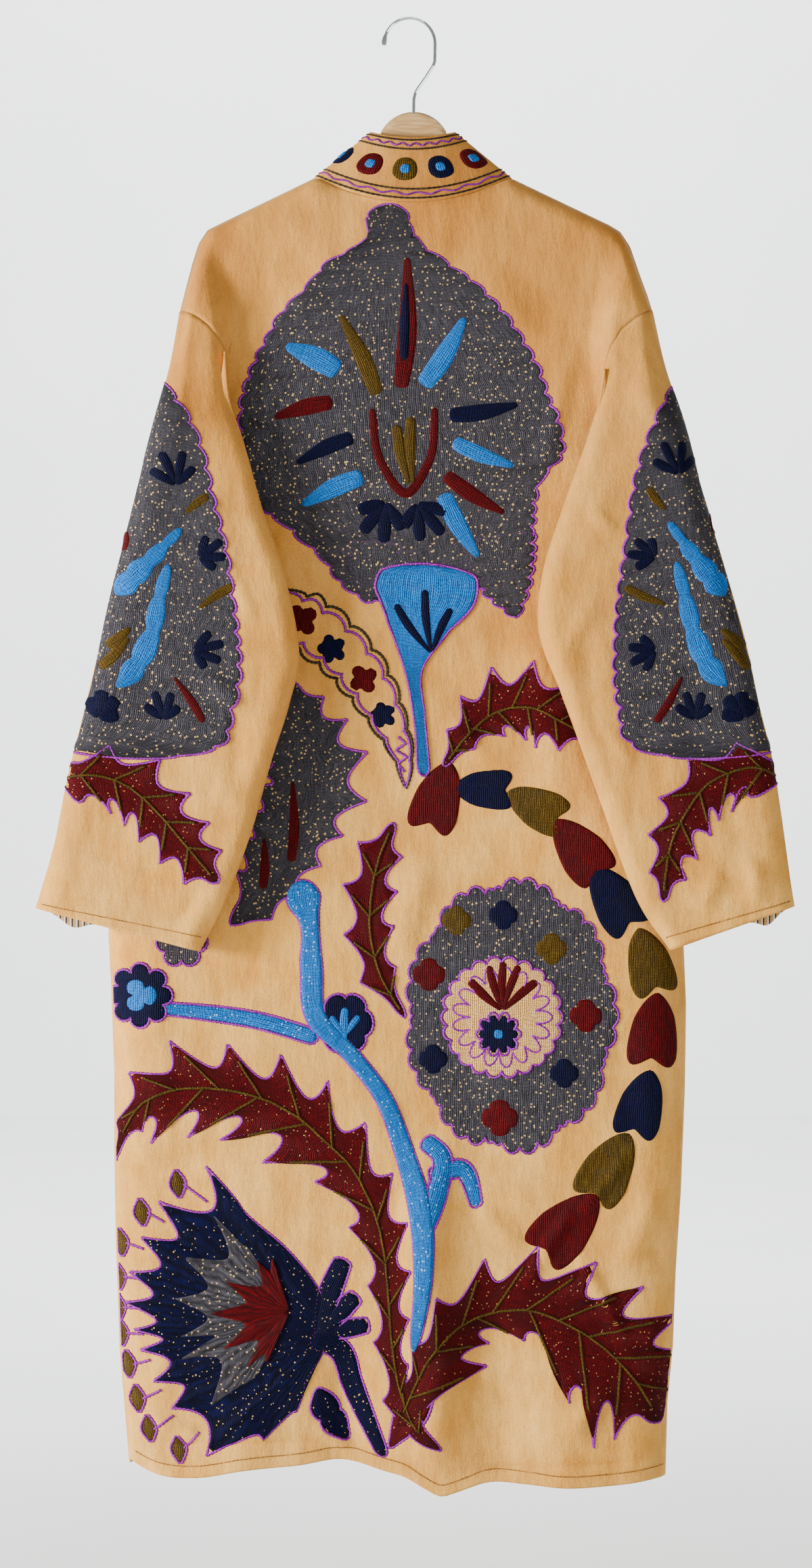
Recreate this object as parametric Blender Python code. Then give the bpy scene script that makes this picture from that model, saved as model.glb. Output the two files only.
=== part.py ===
"""A long velvet coat, hung on a wooden hanger with a wire hook, with its back to the viewer.

Metres, +Z up. The origin is the inner top of the hook. -Y is the coat's back and +X is its right
as the back is looked at. The coat is cut as straight panels: a back, two fronts, two dropped
sleeves and one long band round the neck and down both front edges.
"""

import bmesh
import bpy
import numpy as np

MM = 0.001
CLOTH = 2.0 * MM
SEAM = 0.3 * MM
LAP = CLOTH + 1.2 * MM
FRONT_SEAM_GAP = 1.8 * MM
DROP_SEAM_GAP = 1.8 * MM
COLLAR_GAP = 1.4 * MM
BAND_SEAM_GAP = 0.7 * MM
CENTRE = 3.0 * MM

# Depths of the cloth, before and behind the hanger's plane.
CHEST_DEPTH = 20 * MM
HEM_DEPTH = 25 * MM
TOP_ROUND = 16 * MM
SIDE_ROUND = 42 * MM

# The neck seam and the free edge of the collar, as ellipses round the neck.
NECK_HALF_WIDTH = 91 * MM
NECK_DEPTH = 26 * MM
NECK_LOW = -172 * MM
NECK_RISE = 24.5 * MM
FREE_HALF_WIDTH = 39 * MM
FREE_DEPTH = 14 * MM
FREE_LOW = -111 * MM
FREE_RISE = 6 * MM
BAND_TOP = -430 * MM
FRONT_HEM = -1332 * MM

HEAD_RADIUS = 34.3 * MM
HEAD_HEIGHT = -119.4 * MM
HEAD_CENTRE = 3.8 * MM
HANGER_HALF_THICKNESS = 6 * MM
WIRE_RADIUS = 1.5 * MM
HOOK_RADIUS = 23.56 * MM
SHANK_DEPTH = 12 * MM
SHANK_HOLE_RADIUS = 2.0 * MM

VELVET = (0.83, 0.55, 0.27)
LINING = (0.55, 0.47, 0.36)
WOOD = (0.58, 0.40, 0.24)
STEEL = (0.75, 0.76, 0.78)


def table(columns, *rows):
    """A table in millimetres as a dictionary of named columns in metres."""
    values = np.array(rows, float).T * MM
    return dict(zip(columns.split(), values, strict=True))


def joined(*tables):
    """Tables laid end to end, each starting where the one before it ends."""
    names = [name for name in tables[0] if all(name in t for t in tables)]
    return {name: np.concatenate([t[name] for t in tables]) for name in names}


# The side seam from the hem to the armpit, for each side of the coat.
SIDE = {
    -1: table(
        "height across depth",
        (-1345, -257, 0),
        (-1300, -260.6, 0),
        (-1228, -266.8, 0),
        (-1124, -270.5, 0),
        (-1042, -271.8, 0),
        (-969, -271.8, 0),
        (-890, -274.9, 0),
        (-841, -277.3, 0),
        (-700, -256, 0),
        (-600, -241, 0),
        (-530, -230, 0),
    ),
    1: table(
        "height across depth",
        (-1345, 235.5, 0),
        (-1276, 237.3, 0),
        (-1223, 242.5, 0),
        (-1155, 245, 0),
        (-1083, 249.7, 0),
        (-989, 253.4, 0),
        (-910, 254.6, 0),
        (-858, 252.5, 0),
        (-700, 241, 0),
        (-600, 232, 0),
        (-530, 225.5, 0),
    ),
}
# The back's armhole edge from the armpit to the foot of the shoulder fold, under the sleeve.
ARMHOLE = {
    -1: table(
        "height across depth",
        (-484, -223.4, 0),
        (-479, -221.4, -11),
        (-465, -215, -18),
        (-440, -204, -22),
        (-390, -187, -26),
        (-345, -174, -32),
        (-325, -170, -36),
        (-310, -168.8, -39),
    ),
    1: table(
        "height across depth",
        (-484, 221.1, 0),
        (-479, 219.4, -11),
        (-465, 214, -18),
        (-440, 206, -22),
        (-395, 192, -26),
        (-358, 182, -32),
        (-340, 179, -36),
        (-326, 178, -39),
    ),
}
# The shoulder fold, from its foot up to the hanger's tip.
SHOULDER_FOLD = {
    -1: table(
        "height across depth",
        (-272, -171.3, -36),
        (-240, -179, -29),
        (-201, -193, -20),
        (-140, -200, -20),
    ),
    1: table(
        "height across depth",
        (-298, 176, -37),
        (-265, 180, -33),
        (-230, 188, -26),
        (-201, 199, -20),
        (-140, 206, -20),
    ),
}
# The seam of the dropped shoulder, from the fold's foot out to the end of the shoulder line.
DROP_SEAM = {
    -1: table(
        "height across",
        (-297, -175.5),
        (-286, -184),
        (-279, -193),
        (-274, -203),
        (-271, -211.6),
    ),
    1: table(
        "height across",
        (-307, 184),
        (-290, 194),
        (-280, 206),
        (-273, 217),
        (-270, 223.6),
    ),
}
# The fronts' armhole edges, from the armpit up to the end of the shoulder line.
FRONT_ARMHOLE = {
    -1: table(
        "height across depth",
        (-484, -223.4, 0),
        (-465, -216, 8),
        (-440, -209.5, 13),
        (-390, -199, 18),
        (-345, -196, 20),
        (-310, -198, 20),
        (-285, -205, 20),
        (-271, -211.6, 20),
    ),
    1: table(
        "height across depth",
        (-484, 221.1, 0),
        (-465, 214, 8),
        (-440, 209, 13),
        (-390, 204, 18),
        (-345, 203, 20),
        (-310, 207, 20),
        (-285, 215, 20),
        (-270, 223.6, 20),
    ),
}
# The top line of the panels: down the outer curve and along the shoulders to the neck.
TOP_LINE = table(
    "across height",
    (-211.6, -271),
    (-206, -249),
    (-200, -226),
    (-194, -207),
    (-186, -195),
    (-176, -190),
    (-88, -147.5),
    (94, -147.5),
    (184, -190.5),
    (194, -196.5),
    (203, -210),
    (213, -239),
    (219, -255),
    (223.6, -270),
)
BACK_HEM = table(
    "across height",
    (-262, -1325),
    (-228, -1340),
    (-197, -1342),
    (-153, -1335),
    (-105, -1331),
    (-59, -1326),
    (-23, -1336),
    (-3, -1342),
    (14, -1352),
    (28, -1359),
    (44, -1355),
    (69, -1347),
    (107, -1348),
    (140, -1351),
    (189, -1349),
    (240, -1342),
)
# Soft folds of the body, each a ridge towards the viewer, or a trough where its lift is below 0.
BACK_FOLDS = table(
    "from_across from_height to_across to_height lift half_width",
    (14, -1010, 24, -1380, 13, 24),
    (-60, -1180, -58, -1380, -7, 22),
    (76, -1150, 84, -1380, -5, 24),
    (150, -1230, 140, -1380, 5, 26),
    (-150, -1260, -170, -1380, 5, 30),
    (18, -767, -12, -870, 4, 12),
    (-258, -1295, -206, -1325, -4, 12),
    (235, -1071, 189, -1155, 4, 12),
    (-262, -1068, -182, -1052, -3, 9),
    (110, -560, 150, -740, 4, 22),
    (-110, -560, -140, -700, 4, 22),
)
FRONT_FOLDS = table(
    "from_across from_height to_across to_height lift half_width",
    (-150, -700, -165, -1380, -6, 30),
    (-105, -900, -100, -1380, 5, 22),
    (150, -760, 160, -1380, -6, 30),
    (112, -950, 104, -1380, 5, 22),
)
# The band's front stretch from the shoulder down to its straight run: half of it, from the centre.
NECKLINE = table(
    "seam_height seam_out free_height free_out",
    (-147.5, 91, -105, 39),
    (-156, 90, -113, 37.5),
    (-180, 87, -145, 33),
    (-220, 82, -200, 25),
    (-280, 76, -275, 16),
    (-350, 68, -352, 7),
    (-430, 64, -430, 2.2),
)
# Each sleeve by its sections from the shoulder seam to the cuff: the outer fold, the inner fold,
# the underarm line, and the depths of the near layer, the far layer and the two folds.
SLEEVE = {
    -1: table(
        "outer_x outer_z inner_x inner_z under_x under_y under_z near far outer_y inner_y",
        (-211.6, -271, -168.8, -310, -229, 0, -488, -39, 14, 0, -39),
        (-220.3, -322.6, -165.1, -353.6, -232, -14, -497, -44, 8, -12, -39),
        (-235.2, -379.6, -150.9, -398.2, -231, -27, -512, -49, -6, -24, -40),
        (-251.3, -447.8, -136, -452.8, -220, -33, -534, -53, -20, -34, -42),
        (-267.4, -513.6, -116.8, -508.6, -205, -33, -566, -56, -30, -40, -44),
        (-283.5, -586.1, -101.9, -583, -190, -33, -614, -58, -33, -44, -45),
        (-297.8, -646.2, -110.6, -632.6, -182, -33, -662, -58, -33, -45, -45),
        (-311.4, -700.8, -127.3, -685.3, -183, -33, -708, -57, -33, -45, -45),
        (-323.2, -759.7, -144.7, -747.3, -190, -33, -758, -56, -33, -44, -44),
        (-334.4, -798.8, -167, -807.4, -206, -33, -808, -54, -33, -43, -43),
        (-340.6, -819.2, -192.4, -858.3, -224, -33, -850, -52, -33, -42, -42),
    ),
    1: table(
        "outer_x outer_z inner_x inner_z under_x under_y under_z near far outer_y inner_y",
        (223.6, -270, 178, -326, 225, 0, -488, -39, 14, 0, -39),
        (234.8, -322.6, 173.4, -356, 228, -14, -497, -44, 8, -12, -39),
        (252.1, -378.4, 159.1, -402, 227, -27, -512, -49, -6, -24, -40),
        (268.3, -443.5, 139.3, -457.8, 220, -33, -534, -53, -20, -34, -42),
        (286.9, -507.4, 122.6, -511.7, 208, -33, -566, -56, -30, -40, -44),
        (306.1, -576.8, 118.8, -567.5, 196, -33, -610, -58, -33, -44, -45),
        (317.9, -632.6, 138.1, -620.2, 196, -33, -654, -58, -33, -45, -45),
        (330.3, -683.4, 155.4, -667.3, 203, -33, -694, -57, -33, -45, -45),
        (337.7, -728.7, 174, -719.4, 214, -33, -736, -56, -33, -44, -44),
        (346.4, -790.7, 207.5, -809.3, 236, -33, -808, -54, -33, -43, -43),
        (350.7, -817.4, 238.5, -857, 262, -33, -850, -52, -33, -42, -42),
    ),
}
# Soft folds of the sleeves' near layer, in the same form as the body's.
SLEEVE_FOLDS = {
    -1: table(
        "from_across from_height to_across to_height lift half_width",
        (-182, -708, -139, -726, 4, 9),
        (-156, -635, -154, -713, -4, 10),
        (-215, -330, -250, -500, 4, 16),
        (-180, -812, -205, -850, 4, 8),
    ),
    1: table(
        "from_across from_height to_across to_height lift half_width",
        (214, -298, 215, -377, 4, 12),
        (158, -554, 163, -670, -4, 10),
        (261, -825, 286, -780, 4, 9),
        (315, -767, 316, -820, 4, 10),
    ),
}
SLEEVE_FADE = 3.0
CUFF_DIP = 9 * MM
CUFF_DIP_PLACE = {-1: 0.72, 1: 0.74}
CUFF_DIP_WIDTH = 0.12
INNER_ROUND = 16 * MM
OUTER_ROUND = 22 * MM
DROP_BULGE = 6 * MM
LINING_THICK = 1.0 * MM

HANGER = table(
    "out top low",
    (0, -150, -152),
    (30, -110, -149),
    (60, -133, -163),
    (91.5, -153.5, -178),
    (130, -168, -192),
    (165, -186.5, -205),
    (178, -194, -210),
    (184, -199.5, -208),
)


def curve(at, places, values):
    """The values at the given places, on a smooth curve through the rows of a table."""
    slopes = np.gradient(values, places)
    at = np.clip(at, places[0], places[-1])
    row = np.clip(np.searchsorted(places, at, side="right") - 1, 0, len(places) - 2)
    step = places[row + 1] - places[row]
    t = (at - places[row]) / step
    start = values[row] * (1 + 2 * t) * (1 - t) ** 2 + slopes[row] * step * t * (1 - t) ** 2
    end = values[row + 1] * t**2 * (3 - 2 * t) + slopes[row + 1] * step * t**2 * (t - 1)
    return start + end


def rounded(distance):
    """A quarter circle's rise: 0 at the edge, where it starts upright, and 1 from 1 on."""
    return np.sqrt(np.clip(1 - (1 - np.clip(distance, 0, 1)) ** 2, 0, 1))


def eased(share):
    """A smooth step from 0 to 1."""
    share = np.clip(share, 0, 1)
    return share**2 * (3 - 2 * share)


def fold_lift(folds, x, z):
    """The lift of all folds: a bell across each fold's line, fading out at the line's ends."""
    lift = np.zeros(np.broadcast(x, z).shape)
    for fx, fz, tx, tz, high, half in zip(*folds.values(), strict=True):
        along = np.hypot(tx - fx, tz - fz)
        ux, uz = (tx - fx) / along, (tz - fz) / along
        t = ((x - fx) * ux + (z - fz) * uz) / along
        aside = (x - fx) * uz - (z - fz) * ux
        fade = eased(t / 0.3) * eased((1 - t) / 0.3)
        lift = lift + high * fade * np.exp(-((aside / half) ** 2))
    return lift


def top_height(x):
    """The height of the panels' top line, which dips in a shallow bow at the neck."""
    share = np.clip((x - CENTRE) / NECK_HALF_WIDTH, -1, 1)
    dip = (NECK_LOW + NECK_RISE * share**2) - (NECK_LOW + NECK_RISE)
    return np.interp(x, TOP_LINE["across"], TOP_LINE["height"]) + dip


def below_top(x, z):
    """The distance below the top line, square to it."""
    step = 6 * MM
    lean = (top_height(x + step) - top_height(x - step)) / (2 * step)
    lean = np.where(np.abs(x - CENTRE) < NECK_HALF_WIDTH, 0, lean)
    return (top_height(x) - z) / np.sqrt(1 + lean**2)


def neck_depth(x):
    """How far the neck seam stands behind the shoulder line."""
    share = np.clip((x - CENTRE) / NECK_HALF_WIDTH, -1, 1)
    return -NECK_DEPTH * np.sqrt(1 - share**2)


def edge_of(side, front):
    """The curve where the panel's depth is given, from the hem to the top."""
    if front:
        return joined(SIDE[side], FRONT_ARMHOLE[side])
    return joined(SIDE[side], ARMHOLE[side], SHOULDER_FOLD[side])


def panel_depth(x, z, front=False):
    """The cloth's y at a place on the back or the fronts: even depth, folds, and rounded edges."""
    way = 1 if front else -1
    low = eased((-z - 0.4) / 0.9)
    depth = way * (CHEST_DEPTH + (HEM_DEPTH - CHEST_DEPTH) * low)
    depth = depth + way * fold_lift(FRONT_FOLDS if front else BACK_FOLDS, x, z)
    for side in (-1, 1):
        edge = edge_of(side, front)
        inside = side * (np.interp(z, edge["height"], edge["across"]) - x)
        given = np.interp(z, edge["height"], edge["depth"])
        armpit = edge["height"][len(SIDE[side]["height"])]
        reach = SIDE_ROUND + (12 * MM - SIDE_ROUND) * eased((z - armpit) / 0.12)
        depth = depth + (given - depth) * (1 - rounded(inside / reach))
    at_top = np.zeros_like(depth) if front else neck_depth(x)
    share = 1 - rounded(below_top(x, z) / TOP_ROUND)
    return depth + (at_top - depth) * share


def wall(middle, thick=CLOTH, closed=False, way=0):
    """A mesh of a cloth wall: the grid moved half its thickness both ways and joined at its edges.

    Where way is -1 or 1 the wall stays on that side of the hanger's plane.
    """
    rows, columns = middle.shape[:2]
    along = np.gradient(middle, axis=0)
    if closed:
        across = np.roll(middle, -1, 1) - np.roll(middle, 1, 1)
    else:
        across = np.gradient(middle, axis=1)
    normal = np.cross(along, across)
    normal /= np.maximum(np.linalg.norm(normal, axis=2, keepdims=True), 1e-12)
    points = np.concatenate([middle + normal * thick / 2, middle - normal * thick / 2])
    if way:
        points[..., 1] = way * np.maximum(way * points[..., 1], SEAM / 2)
    index = np.arange(2 * rows * columns).reshape(2, rows, columns)
    if closed:
        index = np.concatenate([index, index[:, :, :1]], axis=2)
    near, far = index

    def quads(a, b, c, d):
        return np.stack([a, b, c, d], -1).reshape(-1, 4)

    faces = [
        quads(near[:-1, :-1], near[:-1, 1:], near[1:, 1:], near[1:, :-1]),
        quads(far[:-1, :-1], far[1:, :-1], far[1:, 1:], far[:-1, 1:]),
        quads(near[0, 1:], near[0, :-1], far[0, :-1], far[0, 1:]),
        quads(near[-1, :-1], near[-1, 1:], far[-1, 1:], far[-1, :-1]),
    ]
    if not closed:
        faces += [
            quads(near[:-1, 0], near[1:, 0], far[1:, 0], far[:-1, 0]),
            quads(near[1:, -1], near[:-1, -1], far[:-1, -1], far[1:, -1]),
        ]
    return points.reshape(-1, 3), np.concatenate(faces)


def add_object(name, points, faces, material):
    """A smooth shaded object from points and faces, with its faces turned outwards."""
    mesh = bpy.data.meshes.new(name)
    mesh.from_pydata(points.tolist(), [], [list(map(int, face)) for face in faces])
    shape = bmesh.new()
    shape.from_mesh(mesh)
    bmesh.ops.recalc_face_normals(shape, faces=shape.faces)
    bmesh.ops.triangulate(shape, faces=shape.faces)
    shape.to_mesh(mesh)
    shape.free()
    mesh.shade_smooth()
    mesh.set_sharp_from_angle(angle=0.9)
    mesh.materials.append(material)
    made = bpy.data.objects.new(name, mesh)
    bpy.context.scene.collection.objects.link(made)
    return made


def add_material(name, colour, roughness, metallic=0.0):
    material = bpy.data.materials.new(name)
    material.use_nodes = True
    shader = material.node_tree.nodes["Principled BSDF"]
    shader.inputs["Base Color"].default_value = (*colour, 1)
    shader.inputs["Roughness"].default_value = roughness
    shader.inputs["Metallic"].default_value = metallic
    return material


def shares_down(count):
    """Shares from the hem to the top, with more rows near the shoulder."""
    body = np.linspace(0, 0.78, count)
    shoulder = np.linspace(0.78, 1, 13)
    return np.unique(np.concatenate([body, shoulder, 1 - np.array([0.002, 0.005, 0.01, 0.027, 0.045])]))


def back_points(columns=22, rows=19):
    """The back panel's grid, from the hem to the top line, between its two side edges."""
    v = shares_down(rows)[:, None]
    ends = np.array([0.006, 0.014, 0.026, 0.042, 0.062])
    u = np.unique(np.concatenate([np.linspace(0, 1, columns), ends, 1 - ends]))[None, :]
    corner = {side: joined(SIDE[side], ARMHOLE[side], DROP_SEAM[side]) for side in (-1, 1)}
    edges = {}
    for side in (-1, 1):
        top = DROP_SEAM[side]["height"][-1]
        hem = np.interp(SIDE[side]["across"][0], BACK_HEM["across"], BACK_HEM["height"])
        edges[side] = np.interp(hem + v * (top - hem), corner[side]["height"], corner[side]["across"])
    x = edges[-1] + u * (edges[1] - edges[-1])
    x_top = edges[-1][-1] + u * (edges[1][-1] - edges[-1][-1])
    hem = curve(x, BACK_HEM["across"], BACK_HEM["height"])
    z = hem + v * (top_height(x_top) - hem)
    y = panel_depth(x, z)
    return np.stack(np.broadcast_arrays(x, y, z), -1)


def neckline(side, height, edge):
    """The x of the band's seam or free edge on the front, at the given heights."""
    rows = slice(None, None, -1)
    out = curve(height, NECKLINE[edge + "_height"][rows], NECKLINE[edge + "_out"][rows])
    return CENTRE + side * out


def front_points(side, columns=9, rows=19):
    """A front panel's grid, from its side edge to the seam of the band."""
    v = shares_down(rows)[:, None]
    ends = np.array([0.02, 0.05, 0.1])
    u = np.unique(np.concatenate([np.linspace(0, 1, columns), ends]))[None, :]
    edge = joined(SIDE[side], FRONT_ARMHOLE[side])
    top = FRONT_ARMHOLE[side]["height"][-1]
    outer = np.interp(FRONT_HEM + v * (top - FRONT_HEM), edge["height"], edge["across"])
    neck = NECKLINE["seam_height"][0]
    inner = neckline(side, FRONT_HEM + v * (neck - FRONT_HEM), "seam") + side * BAND_SEAM_GAP
    x = outer + u * (inner - outer)
    x_top = outer[-1] + u * (inner[-1] - outer[-1])
    z = FRONT_HEM + v * (top_height(x_top) - FRONT_HEM)
    y = panel_depth(x, z, front=True)
    return np.stack(np.broadcast_arrays(x, y, z), -1)


def collar_points(across=4, back=26, down=12):
    """The collar's grid: from one side of the chest over the shoulders and round the back neck."""
    b = np.linspace(0, 1, across)[None, :, None]
    turn = np.linspace(0, np.pi, back)
    seam = np.stack(
        [
            CENTRE - NECK_HALF_WIDTH * np.cos(turn),
            -NECK_DEPTH * np.sin(turn),
            NECK_LOW + NECK_RISE * np.cos(turn) ** 2,
        ],
        -1,
    )
    free = np.stack(
        [
            CENTRE - FREE_HALF_WIDTH * np.cos(turn),
            -FREE_DEPTH * np.sin(turn),
            FREE_LOW + FREE_RISE * np.cos(turn) ** 2,
        ],
        -1,
    )
    ends = {}
    for side in (-1, 1):
        share = np.linspace(0, 1, down)[1:] ** 1.4
        heights = {}
        for edge in ("seam", "free"):
            column = NECKLINE[edge + "_height"]
            heights[edge] = np.interp(share, np.linspace(0, 1, len(column)) ** 1.4, column)
        line = []
        for edge in ("seam", "free"):
            x = neckline(side, heights[edge], edge)
            at = neckline(side, heights["seam"], "seam")
            y = panel_depth(at, heights["seam"], front=True)
            y = y + (2 * MM) * eased(share / 0.4) * (edge == "free")
            line.append(np.stack([x, y, heights[edge]], -1))
        ends[side] = line
    seam = np.concatenate([ends[-1][0][::-1], seam, ends[1][0]])
    free = np.concatenate([ends[-1][1][::-1], free, ends[1][1]])
    lift = np.array([0, 0, COLLAR_GAP])
    return seam[:, None] * (1 - b) + free[:, None] * b + lift


def band_points(side, across=3, down=16):
    """A front band's grid, from the end of the collar down to the hem."""
    v = np.linspace(0, 1, down)[:, None]
    b = np.linspace(0, 1, across)[None, :]
    z = BAND_TOP - SEAM + v * (FRONT_HEM - BAND_TOP) + 0 * b
    seam = neckline(side, z, "seam")
    free = neckline(side, z, "free")
    x = seam + b * (free - seam)
    y = panel_depth(seam, z, front=True) + 2 * MM * b
    return np.stack([x, y, z], -1)


def shoulder_ring(side, near, under, far):
    """The armhole seam as the sleeve's first ring, from the end of the shoulder line round."""
    drop, hole, front = DROP_SEAM[side], ARMHOLE[side], FRONT_ARMHOLE[side]
    foot = {name: hole[name][-1:] for name in ("height", "across")}
    drop = joined(foot, drop)
    height = np.interp(1 - near, np.linspace(0, 1, len(drop["height"])), drop["height"])
    across = np.interp(height, drop["height"], drop["across"])
    depth = panel_depth(across, height) - 0.5 * LAP * eased((near - 0.75) / 0.25)
    gap = DROP_SEAM_GAP * (1 + 0.6 * eased((near - 0.75) / 0.25))
    ring = [np.stack([across, depth, height - gap], -1)]
    armpit = hole["height"][0]
    height = hole["height"][-1] + under * (armpit - hole["height"][-1])
    across = np.interp(height, hole["height"], hole["across"])
    depth = np.interp(height, hole["height"], hole["depth"]) - LAP * (0.5 + 0.5 * eased(under / 0.08))
    ring.append(np.stack([across + side * 0.3 * MM, depth, height - 1.6 * DROP_SEAM_GAP], -1))
    height = armpit + far * (front["height"][-1] - armpit)
    across = np.interp(height, front["height"], front["across"])
    depth = panel_depth(across, height, front=True)
    ring.append(np.stack([across + side * FRONT_SEAM_GAP, depth, height - DROP_SEAM_GAP], -1))
    under_start = np.array([[SLEEVE[side][k][0] for k in ("under_x", "under_y", "under_z")]])
    outward, deeper, lower = [eased((under - at) / (1 - at)) for at in (0.6, 0.95, 0.8)]
    pull = np.stack([outward, deeper, lower], -1)
    ring[1] = ring[1] + (under_start - ring[1][-1:]) * pull
    ring[2] = ring[2] + (under_start - ring[2][:1]) * eased((0.35 - far[:, None]) / 0.35)
    return ring


def sleeve_arcs(side, rows, near, under, far):
    """The sleeve as three arcs: its near layer, the layer under the inner fold, and its far layer."""
    place = np.arange(len(SLEEVE[side]["near"]), dtype=float)
    s = {name: curve(rows, place, column)[:, None] for name, column in SLEEVE[side].items()}
    deep = s["under_y"]

    r = near[None, :]
    x = s["outer_x"] + r * (s["inner_x"] - s["outer_x"])
    z = s["outer_z"] + r * (s["inner_z"] - s["outer_z"])
    width = np.hypot(s["inner_x"] - s["outer_x"], s["inner_z"] - s["outer_z"])
    y = s["near"] + (s["outer_y"] - s["near"]) * (1 - rounded(r * width / OUTER_ROUND))
    y = y + (s["inner_y"] - s["near"]) * (1 - rounded((1 - r) * width / INNER_ROUND))
    middle = 4 * r * (1 - r)
    y = y - fold_lift(SLEEVE_FOLDS[side], x, z) * eased(middle)
    z = z + DROP_BULGE * middle * (1 - eased(rows[:, None]))
    arcs = [np.stack(np.broadcast_arrays(x, y, z), -1)]

    r = under[None, :]
    x = s["inner_x"] + r * (s["under_x"] - s["inner_x"])
    z = s["inner_z"] + r * (s["under_z"] - s["inner_z"])
    width = np.hypot(s["under_x"] - s["inner_x"], s["under_z"] - s["inner_z"])
    layer = np.minimum(deep, -33 * MM) * (1 - r) + deep * r
    y = layer + (s["inner_y"] - layer) * (1 - rounded(r * width / INNER_ROUND))
    arcs.append(np.stack(np.broadcast_arrays(x, y, z), -1))

    r = far[None, :]
    x = s["under_x"] + r * (s["outer_x"] - s["under_x"])
    z = s["under_z"] + r * (s["outer_z"] - s["under_z"])
    width = np.hypot(s["outer_x"] - s["under_x"], s["outer_z"] - s["under_z"])
    layer = deep + (s["far"] - deep) * eased(r * 2)
    y = layer + (s["outer_y"] - layer) * (1 - rounded((1 - r) * width / OUTER_ROUND))
    end = place[-1]
    dip = np.exp(-(((r - CUFF_DIP_PLACE[side]) / CUFF_DIP_WIDTH) ** 2))
    z = z - CUFF_DIP * dip * eased((rows[:, None] - end + 1.5) / 1.5)
    arcs.append(np.stack(np.broadcast_arrays(x, y, z), -1))
    return arcs


def sleeve_points(side, rows, near, under, far):
    """The sleeve's arcs, drawn at their top to the armhole seam and fading to their own form."""
    arcs = sleeve_arcs(side, rows, near, under, far)
    start = sleeve_arcs(side, np.zeros(1), near, under, far)
    ring = shoulder_ring(side, near, under, far)
    left = (1 - eased(rows / SLEEVE_FADE))[:, None, None]
    return [arc + (seam - first) * left for arc, first, seam in zip(arcs, start, ring, strict=True)]


def spread(count):
    """Shares from 0 to 1, closer together at the ends."""
    return (1 - np.cos(np.pi * np.linspace(0, 1, count))) / 2


def sleeve_grid(side):
    """The whole sleeve as one closed tube of rings."""
    rows = np.concatenate([[0, 0.25, 0.55, 1, 1.5], np.linspace(2, 10, 13)])
    near, under, far = spread(12), spread(9), spread(11)
    near_arc, under_arc, far_arc = sleeve_points(side, rows, near, under, far)
    return np.concatenate([near_arc[:, :-1], under_arc[:, :-1], far_arc[:, :-1]], axis=1)


def cuff_lining_points(side):
    """The strip of lining inside the far layer where the cuff hangs lowest: its points, moved in."""
    rows = np.linspace(9.0, 10.0, 4)
    place = CUFF_DIP_PLACE[side]
    far = np.linspace(place - 0.2, place + 0.18, 9)
    strip = sleeve_points(side, rows, np.array([0.5, 0.6]), np.array([0.5, 0.6]), far)[2]
    inset = (CLOTH + LINING_THICK) / 2 + 2 * SEAM
    return strip - np.array([0, inset, 0])


def hanger_mesh():
    """The hanger: sections square to X, carried along its top and lower lines, with closed ends."""
    head = np.linspace(0, 30, 9)
    arm = np.linspace(42, 178, 14)
    half = np.concatenate([head, [31.5, 33, 36], arm, [184]])
    out = np.concatenate([-half[:0:-1], half]) * MM
    size = np.abs(out)
    top = np.interp(size, HANGER["out"][1:], HANGER["top"][1:])
    disc = HEAD_HEIGHT + np.sqrt(np.clip(HEAD_RADIUS**2 - size**2, 0, None))
    top = np.where(size < 30.5 * MM, np.maximum(disc, HANGER["top"][1]), top)
    low = np.interp(size, HANGER["out"], HANGER["low"])
    thick = HANGER_HALF_THICKNESS * (1 - 0.35 * eased(size / 0.19 - 0.2))
    turn = np.linspace(0, 2 * np.pi, 12, endpoint=False)
    power = 0.55
    side = np.sign(np.cos(turn)) * np.abs(np.cos(turn)) ** power
    rise = np.sign(np.sin(turn)) * np.abs(np.sin(turn)) ** power
    middle, tall = (top + low) / 2, (top - low) / 2
    points = np.stack(
        np.broadcast_arrays(
            (HEAD_CENTRE + out)[:, None],
            thick[:, None] * side,
            middle[:, None] + tall[:, None] * rise,
        ),
        -1,
    )
    count, around = points.shape[:2]
    index = np.arange(count * around).reshape(count, around)
    after = np.roll(index, -1, 1)
    skin = np.stack([index[:-1], after[:-1], after[1:], index[1:]], -1).reshape(-1, 4).tolist()
    return points.reshape(-1, 3), skin + [index[0].tolist(), index[-1].tolist()]


def hook_path():
    """The wire's centre line: the ball at its tip, over the top, down and back in to the shank."""
    turn = np.radians(np.linspace(184, 0, 24))
    middle = WIRE_RADIUS - HOOK_RADIUS
    bow = np.stack([HOOK_RADIUS * np.cos(turn), middle + HOOK_RADIUS * np.sin(turn)], -1)
    head_top = HEAD_HEIGHT + HEAD_RADIUS
    shank = np.array(
        [
            (23.4, -33),
            (23.2, -38.5),
            (21.8, -42.5),
            (14.5, -54),
            (8.5, -62.5),
            (5.4, -67.5),
            (4.0, -73),
        ]
    )
    seat = np.array([(HEAD_CENTRE, head_top), (HEAD_CENTRE, head_top - SHANK_DEPTH + SEAM)])
    path = np.concatenate([bow, shank * MM, seat])
    return np.stack([path[:, 0], np.zeros(len(path)), path[:, 1]], -1)


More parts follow.
